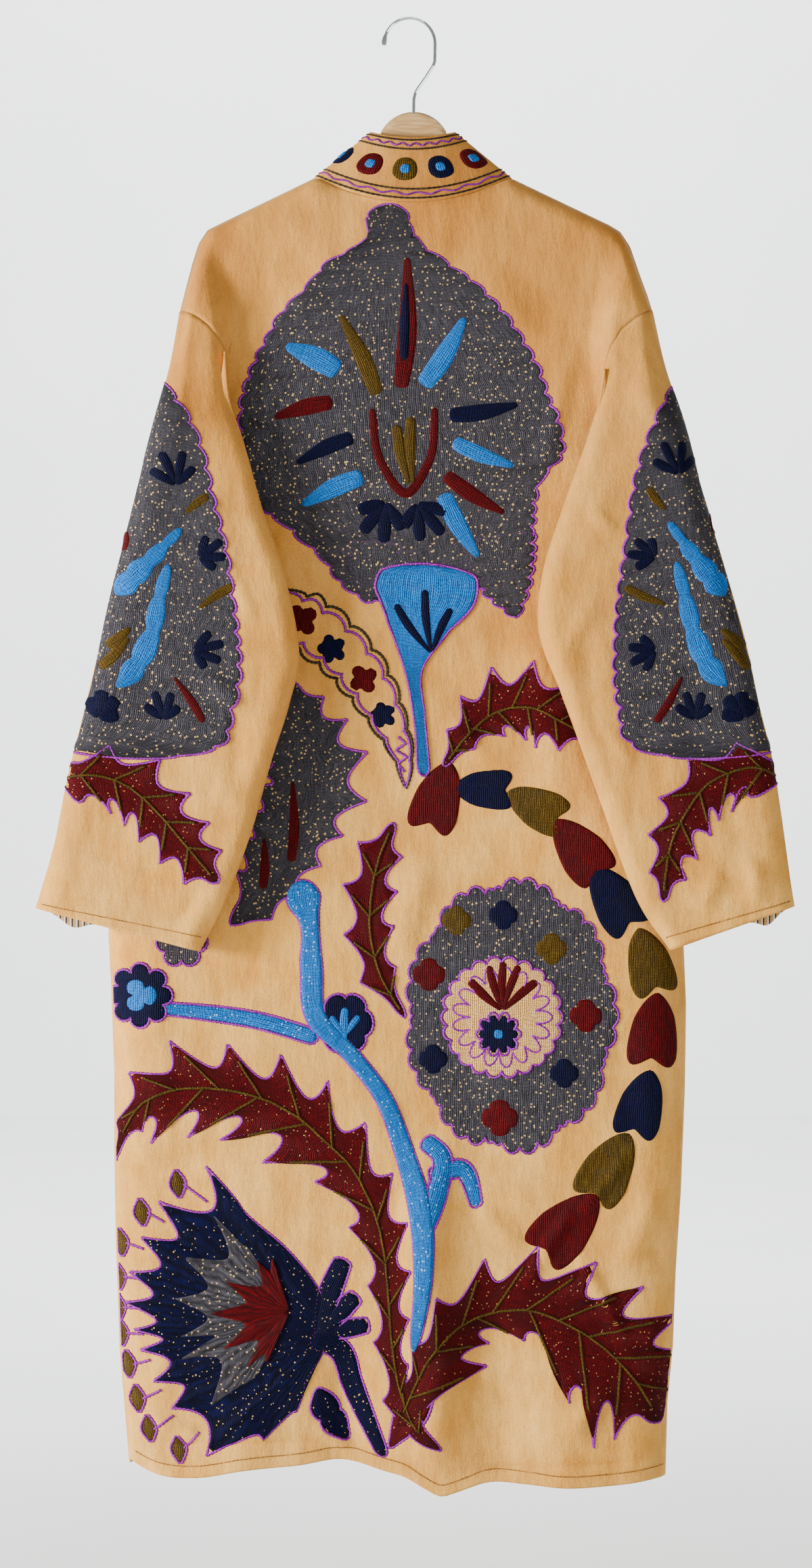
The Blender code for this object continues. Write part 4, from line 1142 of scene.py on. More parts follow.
# A pad's foot and the foot of its rise, both within the cloth; a chain's centre above the cloth.
PAD_FOOT = 0.6 * MM
PAD_RISE_FOOT = 0.35 * MM
CHAIN_CENTRE = 0.45 * MM
CHAIN_NARROW = 0.62
FINE_CHAIN = 2.2 * MM
SEWING_THREAD = 1.1 * MM
pads = {}
chains = {}


def sew(colour, pad, place="back", layer=0.0):
    """Adds a pad: its top follows the cloth, and its base lies within the cloth's wall."""
    middle, way = PLACES[place](pad["x"], pad["z"])
    rise = (pad["rise"] * (PAD_HEIGHT + PAD_RISE_FOOT) + layer)[..., None]
    top = middle + way * (CLOTH / 2 - PAD_RISE_FOOT + rise)
    base = middle + way * (CLOTH / 2 - PAD_FOOT)
    rows, columns = pad["x"].shape
    index = np.arange(2 * rows * columns).reshape(2, rows, columns)
    ring = np.concatenate(
        [index[:, 0, :-1], index[:, :-1, -1], index[:, -1, :0:-1], index[:, :0:-1, 0]], axis=1
    )
    after = np.roll(ring, -1, 1)
    faces = [
        np.stack([g[:-1, :-1], g[:-1, 1:], g[1:, 1:], g[1:, :-1]], -1).reshape(-1, 4)[:, ::way_round]
        for g, way_round in ((index[0], 1), (index[1], -1))
    ]
    faces.append(np.stack([ring[0], ring[1], after[1], after[0]], -1))
    points = np.concatenate([top.reshape(-1, 3), base.reshape(-1, 3)])
    faces = outward(points, np.concatenate(faces))
    uv = np.tile(np.stack([pad["u"], pad["v"]], -1).reshape(-1, 2), (2, 1))
    pads.setdefault(colour, []).append((points, faces, uv))


def chain(colour, line, place="back", closed=True, width=CHAIN_WIDTH, layer=0.0):
    """Adds a line of chain stitch along the places of a line."""
    x, z = (np.asarray(part, float) for part in line)
    if closed:
        x, z = np.append(x, x[0]), np.append(z, z[0])
    length = np.concatenate([[0], np.cumsum(np.hypot(np.diff(x), np.diff(z)))])
    count = max(int(round(length[-1] / LINK)), 2) * 2
    at = np.linspace(0, length[-1], count, endpoint=not closed)
    x, z = np.interp(at, length, x), np.interp(at, length, z)
    middle, way = PLACES[place](x, z)
    if closed:
        along = np.roll(middle, -1, 0) - np.roll(middle, 1, 0)
    else:
        along = np.gradient(middle, axis=0)
    aside = np.cross(along, way)
    aside /= np.maximum(np.linalg.norm(aside, axis=1, keepdims=True), 1e-12)
    half = width / 2 * np.where(np.arange(count) % 2, 1.0, CHAIN_NARROW)[:, None, None]
    turn = np.linspace(0, 2 * np.pi, SIDES, endpoint=False)[None, :, None]
    centre = middle + way * (CLOTH / 2 + CHAIN_CENTRE + layer)
    flat = CHAIN_NARROW * half
    ring = centre[:, None] + aside[:, None] * half * np.cos(turn) + way[:, None] * flat * np.sin(turn)
    index = np.arange(count * SIDES).reshape(count, SIDES)
    after = np.roll(index, -1, 0) if closed else index[1:]
    first = index if closed else index[:-1]
    faces = np.stack([first, np.roll(first, -1, 1), np.roll(after, -1, 1), after], -1).reshape(-1, 4)
    if not closed:
        faces = np.concatenate([faces, [index[0, ::-1], index[-1]]])
    points = ring.reshape(-1, 3)
    uv = np.stack(np.broadcast_arrays(turn[..., 0] * width / 6, at[:, None]), -1).reshape(-1, 2)
    chains.setdefault(colour, []).append((points, outward(points, faces), uv))


def merged(parts):
    """Many parts as one: their points, faces and stitch coordinates in single arrays."""
    shift = np.cumsum([0] + [len(points) for points, _, _ in parts[:-1]])
    faces = [face + move for (_, face, _), move in zip(parts, shift, strict=True)]
    joined_points = np.concatenate([points for points, _, _ in parts])
    return joined_points, np.concatenate(faces), np.concatenate([uv for _, _, uv in parts])


# %% [markdown]
# ## Tools that sew one motif
#
# Few kinds of form make up the whole embroidery: a leaf with two edges, a round flower, a short lens, a
# toothed fan, the veins on a leaf, and a sprig of four fingers. Each tool sews one of them and, where
# the real one has it, the line of chain stitch round it.

# %% One motif at a time
PURPLE, DARK = "purple_silk", "dark_silk"
# Where the midrib lies across a leaf, and how far before its lobe a vein starts, in lobes.
MIDRIB = 0.001
VEIN_FOOT = 0.35


def leaf(colour, rows, place="back", edge=PURPLE, layer=0.0, edge_layer=None, **style):
    """One filled leaf with its outline, which lies below the fill of its neighbours where they join."""
    sew(colour, leaf_pad(rows, **style), place, layer)
    if edge:
        chain(edge, leaf_edge(rows, **style), place, layer=layer if edge_layer is None else edge_layer)


def flower(colour, x, y, radius, petals=0, bite=0.0, place="back", edge=PURPLE, layer=0.0, **style):
    """One filled flower or dot with its outline."""
    line = round_edge(x, y, radius, petals, bite, **style)
    sew(colour, round_pad(line, from_photo(x, y)), place, layer)
    if edge:
        chain(edge, line, place, layer=layer)


def lenses(colour, rows, place="back", edge=None, layer=0.0, bend=0.03, edge_layer=None):
    """Short filled marks from (x0, y0) to (x1, y1), each widest towards its second end."""
    for x0, y0, x1, y1, half in zip(*rows.values(), strict=True):
        middle_x = 0.4 * x0 + 0.6 * x1 + bend * (y1 - y0)
        middle_y = 0.4 * y0 + 0.6 * y1 - bend * (x1 - x0)
        foot, tip = (x0, y0, 0.3 * half, 0.3 * half), (x1, y1, 0.8 * half, 0.8 * half)
        blade = leaf_spine(foot, (middle_x, middle_y, half, half), tip)
        leaf(colour, blade, place, edge, layer, edge_layer)


def fan(colour, base, rows, teeth, bite, edge=PURPLE, layer=0.0, edge_layer=0.0):
    """One filled fan with its outline, from rays whose tips the table gives."""
    size = np.hypot(rows["x"] - base[0], rows["y"] - base[1]).max() * PIXEL
    t = np.linspace(0, 1, 160)[:, None]
    b = np.linspace(FAN_START, 1, int(size / PAD_STEP))[None, :]
    x, z = fan_at(base, rows, t, b, teeth, bite)
    spread_out = 0.5 * size * (t - 0.5)
    pad = {"x": x, "z": z, "rise": flat_top(x.shape), "u": spread_out + 0 * x, "v": b * size + 0 * x}
    sew(colour, pad, layer=layer)
    if edge:
        t = np.linspace(0, 1, 600)
        b = np.linspace(FAN_START, 1, 60)
        parts = [fan_at(base, rows, 0.0, b, teeth, bite), fan_at(base, rows, t, 1.0, teeth, bite)]
        parts.append(fan_at(base, rows, 1.0, b[::-1], teeth, bite))
        chain(edge, np.concatenate(parts, axis=1), layer=edge_layer)


def veins(rows, count, place="back", lean=0.0, reach=0.66, layer=PAD_HEIGHT):
    """Olive chain lines: the midrib, and a short straight vein towards each pointed lobe."""
    t = np.linspace(0.05, 0.95, 200)
    chain("olive_silk", leaf_at(rows, t, MIDRIB), place, closed=False, layer=layer)
    s = np.linspace(0, 1, 30)
    for side, lobes in zip((1, -1), count, strict=True):
        for k in range(1, lobes):
            foot = np.array(leaf_at(rows, (k - VEIN_FOOT * np.sign(lean)) / lobes, MIDRIB))
            tip = np.array(leaf_at(rows, k / lobes, side, lean=lean))
            line = foot[:, None] + reach * (tip - foot)[:, None] * s
            chain("olive_silk", line, place, closed=False, layer=layer)


# The fingers of a sprig: the length of each as a share of the longest, and its turn in radians.
SPRIG_FINGERS = ((0.8, -0.9), (1, -0.3), (0.95, 0.3), (0.7, 0.9))


def sprigs(colour, rows, place="back", layer=0.0):
    """Small hand-like sprigs: three short marks and a long one that fan out from a foot (x, y)."""
    for x, y, tip_x, tip_y, half in zip(*rows.values(), strict=True):
        away = complex(tip_x - x, tip_y - y)
        tips = [complex(x, y) + away * reach * np.exp(1j * turn) for reach, turn in SPRIG_FINGERS]
        marks = short_marks(*[(x, y, tip.real, tip.imag, half) for tip in tips])
        lenses(colour, marks, place, layer=layer, bend=0.0)


# %% [markdown]
# ## The back's motifs
#
# On the back a great dark leaf hangs from the neck, a long blue stem rises from the hem, with a
# rosette, a thistle and red leaves round it, and a row of hearts runs down the right side. Each motif
# is a table of a spine and its half widths, and the line that sews it gives its lobes; the small marks
# inside are single lenses. The outlines are a red-violet silk.

# %% The great leaf and the tulip
GREAT_LEAF = leaf_spine(
    (580, 298, 22, 38), (578, 330, 34, 40), (574, 343, 42, 34), (575, 358, 46, 50), (576, 379, 74, 90),
    (577, 405, 106, 118), (580, 447, 147, 168), (584, 498, 183, 202), (588, 563, 216, 232),
    (590, 600, 225, 240), (594, 650, 239, 240), (598, 700, 234, 232), (602, 735, 200, 212),
    (605, 765, 190, 178), (610, 800, 186, 140), (618, 840, 170, 118), (626, 884, 120, 84),
)
GREAT_TIPS = (
    leaf_spine((738, 790, 56, 56), (744, 830, 50, 52), (754, 870, 34, 40), (764, 912, 6, 6)),
    leaf_spine((556, 800, 40, 40), (552, 846, 34, 34), (540, 890, 8, 8)),
)
leaf("charcoal_silk", GREAT_LEAF, scallops=24, edge_layer=FIRST)
for rows in GREAT_TIPS:
    leaf("charcoal_silk", rows, layer=0.1 * MM, edge_layer=FIRST, scallops=7)
lenses(
    "maroon_silk",
    short_marks((602, 376, 592, 574, 17), (402, 616, 494, 592, 16), (748, 758, 656, 698, 15)),
    layer=ON_LEAF,
)
lenses("navy_silk", short_marks((600, 415, 597, 532, 8)), layer=2.4 * ON_LEAF, bend=0)
lenses("navy_silk", short_marks((436, 684, 524, 644, 15), (768, 596, 662, 612, 16)), layer=ON_LEAF)
lenses(
    "blue_silk",
    short_marks(
        (420, 508, 502, 548, 20), (688, 466, 624, 570, 18), (444, 746, 538, 702, 17),
        (762, 688, 668, 650, 15), (708, 824, 654, 726, 17),
    ),
    layer=ON_LEAF,
)
lenses("olive_silk", short_marks((502, 462, 558, 584, 16)), layer=ON_LEAF)
sprigs(
    "navy_silk", photo("x y tip_x tip_y half", (570, 740, 548, 800, 13), (616, 742, 640, 800, 12)),
    layer=ON_LEAF,
)
CUP = leaf_spine((549, 600, 7, 7), (562, 680, 8, 8), (600, 728, 9, 9), (634, 680, 8, 8), (643, 598, 7, 7))
leaf("maroon_silk", CUP, edge=None, layer=ON_LEAF)
lenses("olive_silk", short_marks((604, 716, 586, 624, 10), (610, 716, 608, 612, 10)), layer=1.3 * ON_LEAF)

TULIP = leaf_spine(
    (627, 1146, 9, 9), (620, 1060, 8, 8), (611, 985, 14, 14), (620, 925, 48, 44), (630, 868, 76, 76),
    (631, 848, 70, 72), (632, 832, 52, 54),
)
leaf("blue_silk", TULIP, layer=ON_LEAF)
lenses(
    "navy_silk", short_marks((637, 965, 583, 890, 8), (637, 965, 628, 868, 8), (637, 965, 668, 896, 8)),
    layer=2 * ON_LEAF,
)
print("the great leaf and the tulip", {name: len(parts) for name, parts in pads.items()})

# %% [markdown]
# Below them lie a pod of chain lines with four small flowers, a red leaf, ten hearts in three colours
# whose tips lead from one to the next, a dark leaf half hidden by the sleeve, and the blue stem.

# %% The pod, the hearts and the stem
POD = leaf_spine(
    (404, 872, 10, 10), (434, 908, 44, 44), (472, 934, 46, 44), (512, 968, 42, 42), (546, 1012, 38, 38),
    (574, 1064, 28, 28), (596, 1120, 15, 15), (600, 1164, 3, 3),
)
chain(DARK, leaf_edge(POD, lobes=(9, 9), bite=0.26))
chain(PURPLE, leaf_edge(POD, lobes=(9, 9), bite=0.34, grow=0.78))
POD_MAROON = photo("x y radius petals", (446, 915, 26, 4), (537, 1003, 24, 4))
POD_NAVY = photo("x y radius petals", (490, 958, 24, 5), (566, 1056, 22, 5))
for colour, rows in (("maroon_silk", POD_MAROON), ("navy_silk", POD_NAVY)):
    for x, y, radius, petals in zip(*rows.values(), strict=True):
        flower(colour, x, y, radius, petals, 0.55, edge=None, turn=0.6)
chain(
    PURPLE, from_photo([588, 600, 584, 602, 588, 598], [1088, 1098, 1108, 1118, 1128, 1140]), closed=False,
)

RIGHT_LEAF = leaf_spine(
    (656, 1132, 5, 5), (690, 1088, 40, 26), (735, 1052, 66, 48), (785, 1045, 66, 58), (830, 1066, 48, 44),
    (872, 1090, 3, 3),
)
leaf("maroon_open", RIGHT_LEAF, lobes=(7, 6), bite=0.5, pointed=True, lean=0.3)
veins(RIGHT_LEAF, (7, 6), lean=0.3)

HEARTS = photo(
    "x y tip_x tip_y colour", (645, 1186, 664, 1128, 0), (722, 1166, 672, 1164, 1),
    (800, 1196, 752, 1172, 2), (862, 1262, 824, 1214, 0), (914, 1336, 880, 1284, 1),
    (962, 1430, 946, 1374, 2), (966, 1532, 972, 1470, 0), (946, 1640, 962, 1584, 1),
    (896, 1734, 928, 1678, 2), (832, 1820, 880, 1770, 0),
)
HEART_COLOURS = ("maroon_silk", "navy_silk", "olive_silk")
for x, y, tip_x, tip_y, colour in zip(*HEARTS.values(), strict=True):
    line = heart_edge(x, y, tip_x, tip_y)
    sew(HEART_COLOURS[int(colour)], round_pad(line, from_photo(x, y)))

UNDER_LEAF = leaf_spine(
    (425, 1008, 14, 60), (446, 1075, 60, 90), (462, 1160, 88, 100), (444, 1230, 60, 110),
    (416, 1290, 40, 100), (378, 1340, 30, 60), (340, 1366, 6, 10),
)
flower("charcoal_silk", 268, 1392, 38, 6, 0.3)
leaf("charcoal_silk", UNDER_LEAF, lobes=(9, 8), bite=0.42, pointed=True, lean=-0.2)
lenses("maroon_silk", short_marks((432, 1152, 430, 1276, 10), (390, 1236, 388, 1316, 9)), layer=ON_LEAF)

TRUNK = leaf_spine(
    (446, 1300, 28, 28), (448, 1326, 26, 26), (456, 1356, 15, 15), (460, 1430, 16, 16),
    (466, 1500, 15, 15), (520, 1560, 12, 12), (564, 1618, 12, 12), (598, 1704, 14, 14),
    (620, 1786, 17, 15), (626, 1880, 13, 13), (612, 1998, 6, 6),
)
BRANCH = leaf_spine((238, 1490, 9, 9), (300, 1496, 11, 11), (380, 1508, 12, 12), (470, 1534, 12, 12))
FORK = leaf_spine((622, 1830, 12, 12), (646, 1760, 15, 15), (652, 1708, 14, 14), (626, 1684, 13, 13))
ARM = leaf_spine((634, 1740, 13, 13), (682, 1728, 14, 14), (706, 1784, 9, 9))
for rows, above in ((BRANCH, 0), (ARM, 0), (FORK, 0.4), (TRUNK, 1.1)):
    leaf("blue_open", rows, layer=above * MM, edge_layer=FIRST)
flower("navy_silk", 207, 1471, 48, 8, 0.28)
flower("blue_silk", 207, 1471, 27, 3, 0.6, layer=ON_LEAF, edge=None)
flower("navy_silk", 510, 1512, 42, 6, 0.2, tall=1.1)
lenses(
    "blue_silk",
    short_marks((510, 1546, 510, 1486, 8), (510, 1530, 488, 1500, 6), (510, 1530, 532, 1500, 6)),
    layer=ON_LEAF,
)

TALL_LEAF = leaf_spine(
    (582, 1216, 3, 3), (562, 1262, 30, 34), (549, 1320, 38, 44), (547, 1378, 40, 40), (562, 1440, 30, 36),
    (599, 1504, 4, 4),
)
leaf("maroon_silk", TALL_LEAF, lobes=(5, 5), bite=0.55, pointed=True, lean=-0.5)
veins(TALL_LEAF, (5, 5), lean=-0.5)
print("with the pod, the hearts and the stem", {name: len(parts) for name, parts in pads.items()})

# %% [markdown]
# ## The rosette, the red leaves and the thistle
#
# The lower half of the back holds the largest forms. The rosette is a dark ring round a pale disc;
# the two red leaves meet at the stem's foot; and the thistle is three toothed fans, laid one over the
# other, with a few blades, a stem and a row of buds round them.

# %% The lower motifs
flower("charcoal_silk", 755, 1501, 160, 9, 0.1, tall=1.29, scallops=36)
flower("cream_silk", 742, 1503, 90, layer=ON_LEAF, scallops=22)
chain(PURPLE, round_edge(742, 1503, 74, 17, 0.38), layer=1.6 * ON_LEAF, width=2.4 * MM)
flower("navy_silk", 737, 1528, 33, 10, 0.35, layer=1.8 * ON_LEAF)
flower("blue_silk", 737, 1528, 8, layer=2.6 * ON_LEAF, edge=None)
lenses(
    "maroon_silk",
    short_marks(
        (742, 1494, 692, 1446, 9), (742, 1494, 722, 1424, 8), (742, 1494, 744, 1418, 8),
        (742, 1494, 768, 1424, 8), (742, 1494, 796, 1448, 9),
    ),
    layer=2.0 * ON_LEAF, bend=0.02,
)
RING_MARKS = photo(
    "x y radius colour", (675, 1360, 20, 2), (744, 1352, 20, 1), (815, 1402, 21, 2), (634, 1440, 22, 0),
    (866, 1501, 22, 0), (640, 1565, 20, 1), (834, 1586, 20, 1), (739, 1652, 24, 0),
)
for x, y, radius, colour in zip(*RING_MARKS.values(), strict=True):
    flower(HEART_COLOURS[int(colour)], x, y, 1.25 * radius, 4, 0.3, layer=ON_LEAF, edge=None)

LEFT_LEAF = leaf_spine(
    (168, 1718, 3, 3), (184, 1672, 14, 16), (210, 1632, 30, 34), (246, 1614, 52, 74), (296, 1608, 70, 78),
    (389, 1624, 64, 88), (443, 1653, 70, 94), (480, 1686, 68, 90), (517, 1722, 58, 78),
    (545, 1771, 48, 60), (562, 1821, 44, 50), (570, 1868, 42, 40), (575, 1922, 36, 30),
    (580, 1985, 28, 28), (594, 2060, 20, 28), (622, 2118, 30, 30), (652, 2142, 6, 6),
)
RED_LEAF = leaf_spine(
    (588, 2112, 5, 20), (614, 2050, 24, 84), (638, 2002, 40, 76), (676, 1962, 66, 44), (731, 1940, 90, 50),
    (790, 1938, 94, 84), (840, 1958, 104, 150), (890, 1990, 112, 124), (935, 2036, 90, 80),
    (976, 2104, 4, 4),
)
FOOT = leaf_spine((632, 2030, 14, 14), (606, 2086, 26, 22), (576, 2140, 3, 3))
leaf("maroon_open", LEFT_LEAF, edge_layer=FIRST, lobes=(14, 11), bite=0.58, pointed=True, lean=-0.75)
veins(LEFT_LEAF, (14, 11), lean=-0.75)
leaf("maroon_open", FOOT, layer=0.1 * MM, edge_layer=FIRST)
red_style = {"lobes": (11, 7), "bite": 0.52, "pointed": True, "lean": 0.7}
leaf("maroon_open", RED_LEAF, layer=0.2 * MM, edge_layer=FIRST, **red_style)
veins(RED_LEAF, (11, 7), lean=0.7, layer=PAD_HEIGHT + 0.2 * MM)

THISTLE = photo(
    "x y bite", (486, 1946, 0), (462, 1892, 0), (420, 1842, 0), (366, 1796, 0), (303, 1722, 1.7),
    (231, 1774, 1.4), (206, 1828, 1), (188, 1880, 1), (182, 1926, 1), (196, 1966, 1), (204, 1996, 1),
    (224, 2042, 1), (252, 2082, 1), (304, 2152, 1.2), (388, 2128, 1), (436, 2088, 1), (450, 2043, 0.8),
    (474, 2004, 0),
)
HEART_OF_IT = (488, 1972)
INNER = photo(
    "x y bite", (372, 1850, 0), (311, 1790, 1.5), (268, 1855, 1), (253, 1919, 1), (262, 1976, 1),
    (259, 2012, 1.4), (308, 2082, 1), (382, 2030, 0),
)
HAND = photo(
    "x y bite", (404, 1860, 0), (377, 1859, 1), (331, 1893, 1), (305, 1942, 1), (328, 1994, 1),
    (363, 2024, 1), (396, 2012, 0),
)
fan("navy_open", HEART_OF_IT, THISTLE, 17, 0.14, edge_layer=FIRST)
fan("charcoal_silk", (428, 1940), INNER, 7, 0.28, edge=None, layer=ON_LEAF)
fan("maroon_silk", (428, 1938), HAND, 6, 0.42, edge=None, layer=2.4 * ON_LEAF)
PETALS = short_marks((468, 1984, 508, 1860, 17), (470, 1980, 528, 1914, 15), (470, 1978, 546, 1958, 14))
lenses("navy_open", PETALS, edge=PURPLE, layer=0.15 * MM, edge_layer=FIRST)
STEM = leaf_spine((460, 1976, 14, 14), (502, 1996, 17, 17), (520, 2044, 16, 16), (568, 2154, 8, 8))
leaf("navy_open", STEM, layer=0.3 * MM, edge_layer=FIRST)
SPUR = leaf_spine((514, 2128, 6, 6), (492, 2096, 24, 20), (476, 2066, 20, 14), (468, 2052, 5, 5))
leaf("navy_open", SPUR, layer=0.1 * MM, edge_layer=FIRST, lobes=(2, 2), bite=0.3)
BUDS = photo(
    "x y foot_x foot_y", (262, 1750, 300, 1776), (209, 1792, 236, 1806), (178, 1838, 206, 1846),
    (174, 1889, 200, 1890), (174, 1934, 202, 1934), (178, 1972, 206, 1972), (189, 2018, 216, 2010),
    (203, 2068, 232, 2054), (220, 2112, 250, 2092), (264, 2142, 288, 2116),
)
for x, y, foot_x, foot_y in zip(*BUDS.values(), strict=True):
    bud = leaf_spine((x - 3, y - 20, 3, 3), (x, y, 12, 12), (x + 3, y + 20, 3, 3))
    leaf("olive_silk", bud)
    chain(PURPLE, from_photo([x + 8, foot_x + 6], [y, foot_y]), closed=False)
print("pads", {name: len(parts) for name, parts in pads.items()})

# %% [markdown]
# ## The sleeves' motifs
#
# Each sleeve has one large dark leaf whose spine lies along the outer fold, so that half of it shows on
# each layer, and a red leaf at the cuff. The two sleeves mirror each other loosely, as hand work does.

# %% The sleeves' motifs
SLEEVE_LEAF = {
    -1: leaf_spine(
        (244, 562, 6, 6), (226, 640, 76, 76), (206, 717, 120, 120), (184, 806, 166, 166),
        (160, 900, 202, 202), (140, 1000, 216, 216), (124, 1066, 196, 196), (114, 1112, 90, 90),
    ),
    1: leaf_spine(
        (994, 566, 6, 6), (1012, 640, 62, 62), (1030, 717, 106, 106), (1058, 806, 152, 152),
        (1085, 900, 188, 188), (1110, 1000, 206, 206), (1124, 1066, 192, 192), (1134, 1112, 90, 90),
    ),
}
CUFF_LEAF = {
    -1: leaf_spine(
        (92, 1150, 30, 60), (150, 1146, 48, 56), (193, 1162, 58, 54), (234, 1198, 54, 50),
        (268, 1237, 46, 46), (300, 1275, 30, 34), (324, 1302, 4, 4),
    ),
    1: leaf_spine(
        (1152, 1152, 70, 30), (1113, 1134, 66, 36), (1076, 1141, 58, 46), (1041, 1160, 56, 48),
        (1014, 1194, 50, 44), (991, 1240, 44, 34), (980, 1300, 22, 18), (978, 1330, 4, 4),
    ),
}
SLEEVE_SPRIGS = {
    -1: photo(
        "x y tip_x tip_y half", (262, 720, 256, 664, 9), (296, 826, 338, 812, 9), (288, 962, 336, 966, 9),
        (244, 1064, 244, 1018, 9), (150, 1062, 168, 1022, 14),
    ),
    1: photo(
        "x y tip_x tip_y half", (1000, 704, 990, 650, 9), (966, 826, 926, 808, 9), (966, 962, 922, 970, 9),
        (1024, 1064, 1022, 1018, 9), (1096, 1062, 1078, 1022, 14),
    ),
}
SLEEVE_FRONDS = {
    -1: (
        leaf_spine(
            (272, 782, 6, 6), (246, 806, 13, 9), (214, 842, 18, 20), (188, 868, 20, 22), (174, 882, 4, 4),
        ),
        leaf_spine(
            (252, 834, 7, 7), (240, 884, 12, 16), (226, 946, 16, 20), (198, 996, 18, 22),
            (174, 1018, 4, 4),
        ),
    ),
    1: (
        leaf_spine(
            (984, 772, 6, 6), (1006, 800, 9, 13), (1034, 840, 20, 18), (1056, 868, 22, 20),
            (1068, 884, 4, 4),
        ),
        leaf_spine(
            (996, 830, 7, 7), (1008, 884, 16, 12), (1024, 946, 20, 16), (1050, 996, 22, 18),
            (1072, 1016, 4, 4),
        ),
    ),
}
SLEEVE_BARS = {
    -1: short_marks((259, 1000, 304, 1070, 8), (192, 786, 184, 816, 9)),
    1: short_marks((1006, 998, 964, 1070, 8), (1046, 756, 1054, 790, 9)),
}
SLEEVE_GREEN = {
    -1: short_marks(
        (274, 762, 312, 734, 9), (294, 902, 350, 866, 9), (198, 928, 160, 958, 11),
        (196, 942, 150, 990, 11),
    ),
    1: short_marks(
        (982, 758, 954, 722, 9), (984, 896, 918, 868, 9), (1060, 930, 1096, 962, 11),
        (1062, 944, 1104, 992, 11),
    ),
}
for side, place in ((-1, "sleeve_left"), (1, "sleeve_right")):
    leaf("charcoal_silk", SLEEVE_LEAF[side], place, scallops=20)
    leaf("maroon_open", CUFF_LEAF[side], place, lobes=(6, 6), bite=0.5, pointed=True, lean=0.5)
    veins(CUFF_LEAF[side], (6, 6), place, lean=0.5)
    sprigs("navy_silk", SLEEVE_SPRIGS[side], place, layer=ON_LEAF)
    for rows in SLEEVE_FRONDS[side]:
        leaf("blue_silk", rows, place, edge=None, layer=ON_LEAF, lobes=(4, 4), bite=0.5)
    lenses("maroon_silk", SLEEVE_BARS[side], place, layer=ON_LEAF)
    lenses("olive_silk", SLEEVE_GREEN[side], place, layer=ON_LEAF)
print("with the sleeves", {name: len(parts) for name, parts in pads.items()})

# %% [markdown]
# ## The band's trimming
#
# Round the neck and down both front edges runs one pattern: a row of discs in three colours, each with
# a blue dot, between straight and wavy chain lines. It is laid in the band's own measures, the way
# along it and the share across it, so that it turns the shoulder with the cloth.

# %% The band's pattern
RING_PITCH = 32 * MM
RING_SHIFT = 6 * MM
RING_RADIUS = 12.4 * MM
DOT_RADIUS = 5.0 * MM
RING_COLOURS = ("olive_silk", "navy_silk", "maroon_silk")
WAVE_PITCH = 17 * MM
# The lines of the band, each at its share of the way across; the red-violet ones are wavy.
BAND_LINES = ((DARK, 0.05), (PURPLE, 0.12), (DARK, 0.19), (DARK, 0.81), (PURPLE, 0.88), (DARK, 0.95))
HEM_SEAM = 11 * MM
CUFF_SEAM_ROW = 9.75


def on_strip(strip):
    """A function like `on_back` for a ruled strip: metres along it and metres across it."""
    way = np.cross(np.gradient(strip, axis=0), np.gradient(strip, axis=1))
    way /= np.linalg.norm(way, axis=2, keepdims=True)
    centre = strip[:, strip.shape[1] // 2]
    along = np.concatenate([[0], np.cumsum(np.linalg.norm(np.diff(centre, axis=0), axis=1))])
    outwards = np.sign((way * (strip - strip.mean((0, 1)))).sum())
    way *= outwards if abs(outwards) > 0 else 1

    def find(x, z):
        row = np.interp(x, along - along[-1] / 2, np.arange(len(along)))
        column = np.clip(z, 0.02, 0.98) * (strip.shape[1] - 1)
        low = np.minimum(row.astype(int), len(along) - 2)
        left = np.minimum(column.astype(int), strip.shape[1] - 2)
        part, over = (row - low)[..., None], (column - left)[..., None]
        return sampled(strip, low, left, part, over), sampled(way, low, left, part, over)

    return find, along[-1]


def trim(place, length, wide, rings):
    """The band's pattern along a strip: straight and wavy lines near both edges, discs in its middle."""
    x = np.linspace(-length / 2 + 2 * MM, length / 2 - 2 * MM, 600)
    wave = 0.02 * np.sin(2 * np.pi * x / WAVE_PITCH)
    for colour, share in BAND_LINES:
        shift = wave if colour == PURPLE else 0 * wave
        chain(colour, (x, share + shift), place, closed=False, width=FINE_CHAIN)
    a = np.linspace(0, 2 * np.pi, 120, endpoint=False)
    for at in rings:
        k = int(round((at + RING_SHIFT) / RING_PITCH))
        colour = RING_COLOURS[k % 3]
        for colour, radius, layer in ((colour, RING_RADIUS, 0), ("blue_silk", DOT_RADIUS, ON_LEAF)):
            disc = round_pad((radius * np.cos(a), radius * np.sin(a)), (0, 0))
            sew(colour, disc | {"x": at + disc["x"], "z": 0.5 + disc["z"] / wide}, place, layer)


across = np.linspace(-252, 234, 400) * MM
hem_line = curve(across, BACK_HEM["across"], BACK_HEM["height"]) + HEM_SEAM
chain("hem_silk", (across, hem_line), closed=False, width=SEWING_THREAD)
for side, place in ((-1, "sleeve_left"), (1, "sleeve_right")):
    row = np.array([CUFF_SEAM_ROW])
    end = {name: curve(row, np.arange(11.0), column) for name, column in SLEEVE[side].items()}
    share = np.linspace(0.03, 0.97, 200)
    line = [end["outer_" + way] + share * (end["inner_" + way] - end["outer_" + way]) for way in "xz"]
    chain("hem_silk", line, place, closed=False, width=SEWING_THREAD)

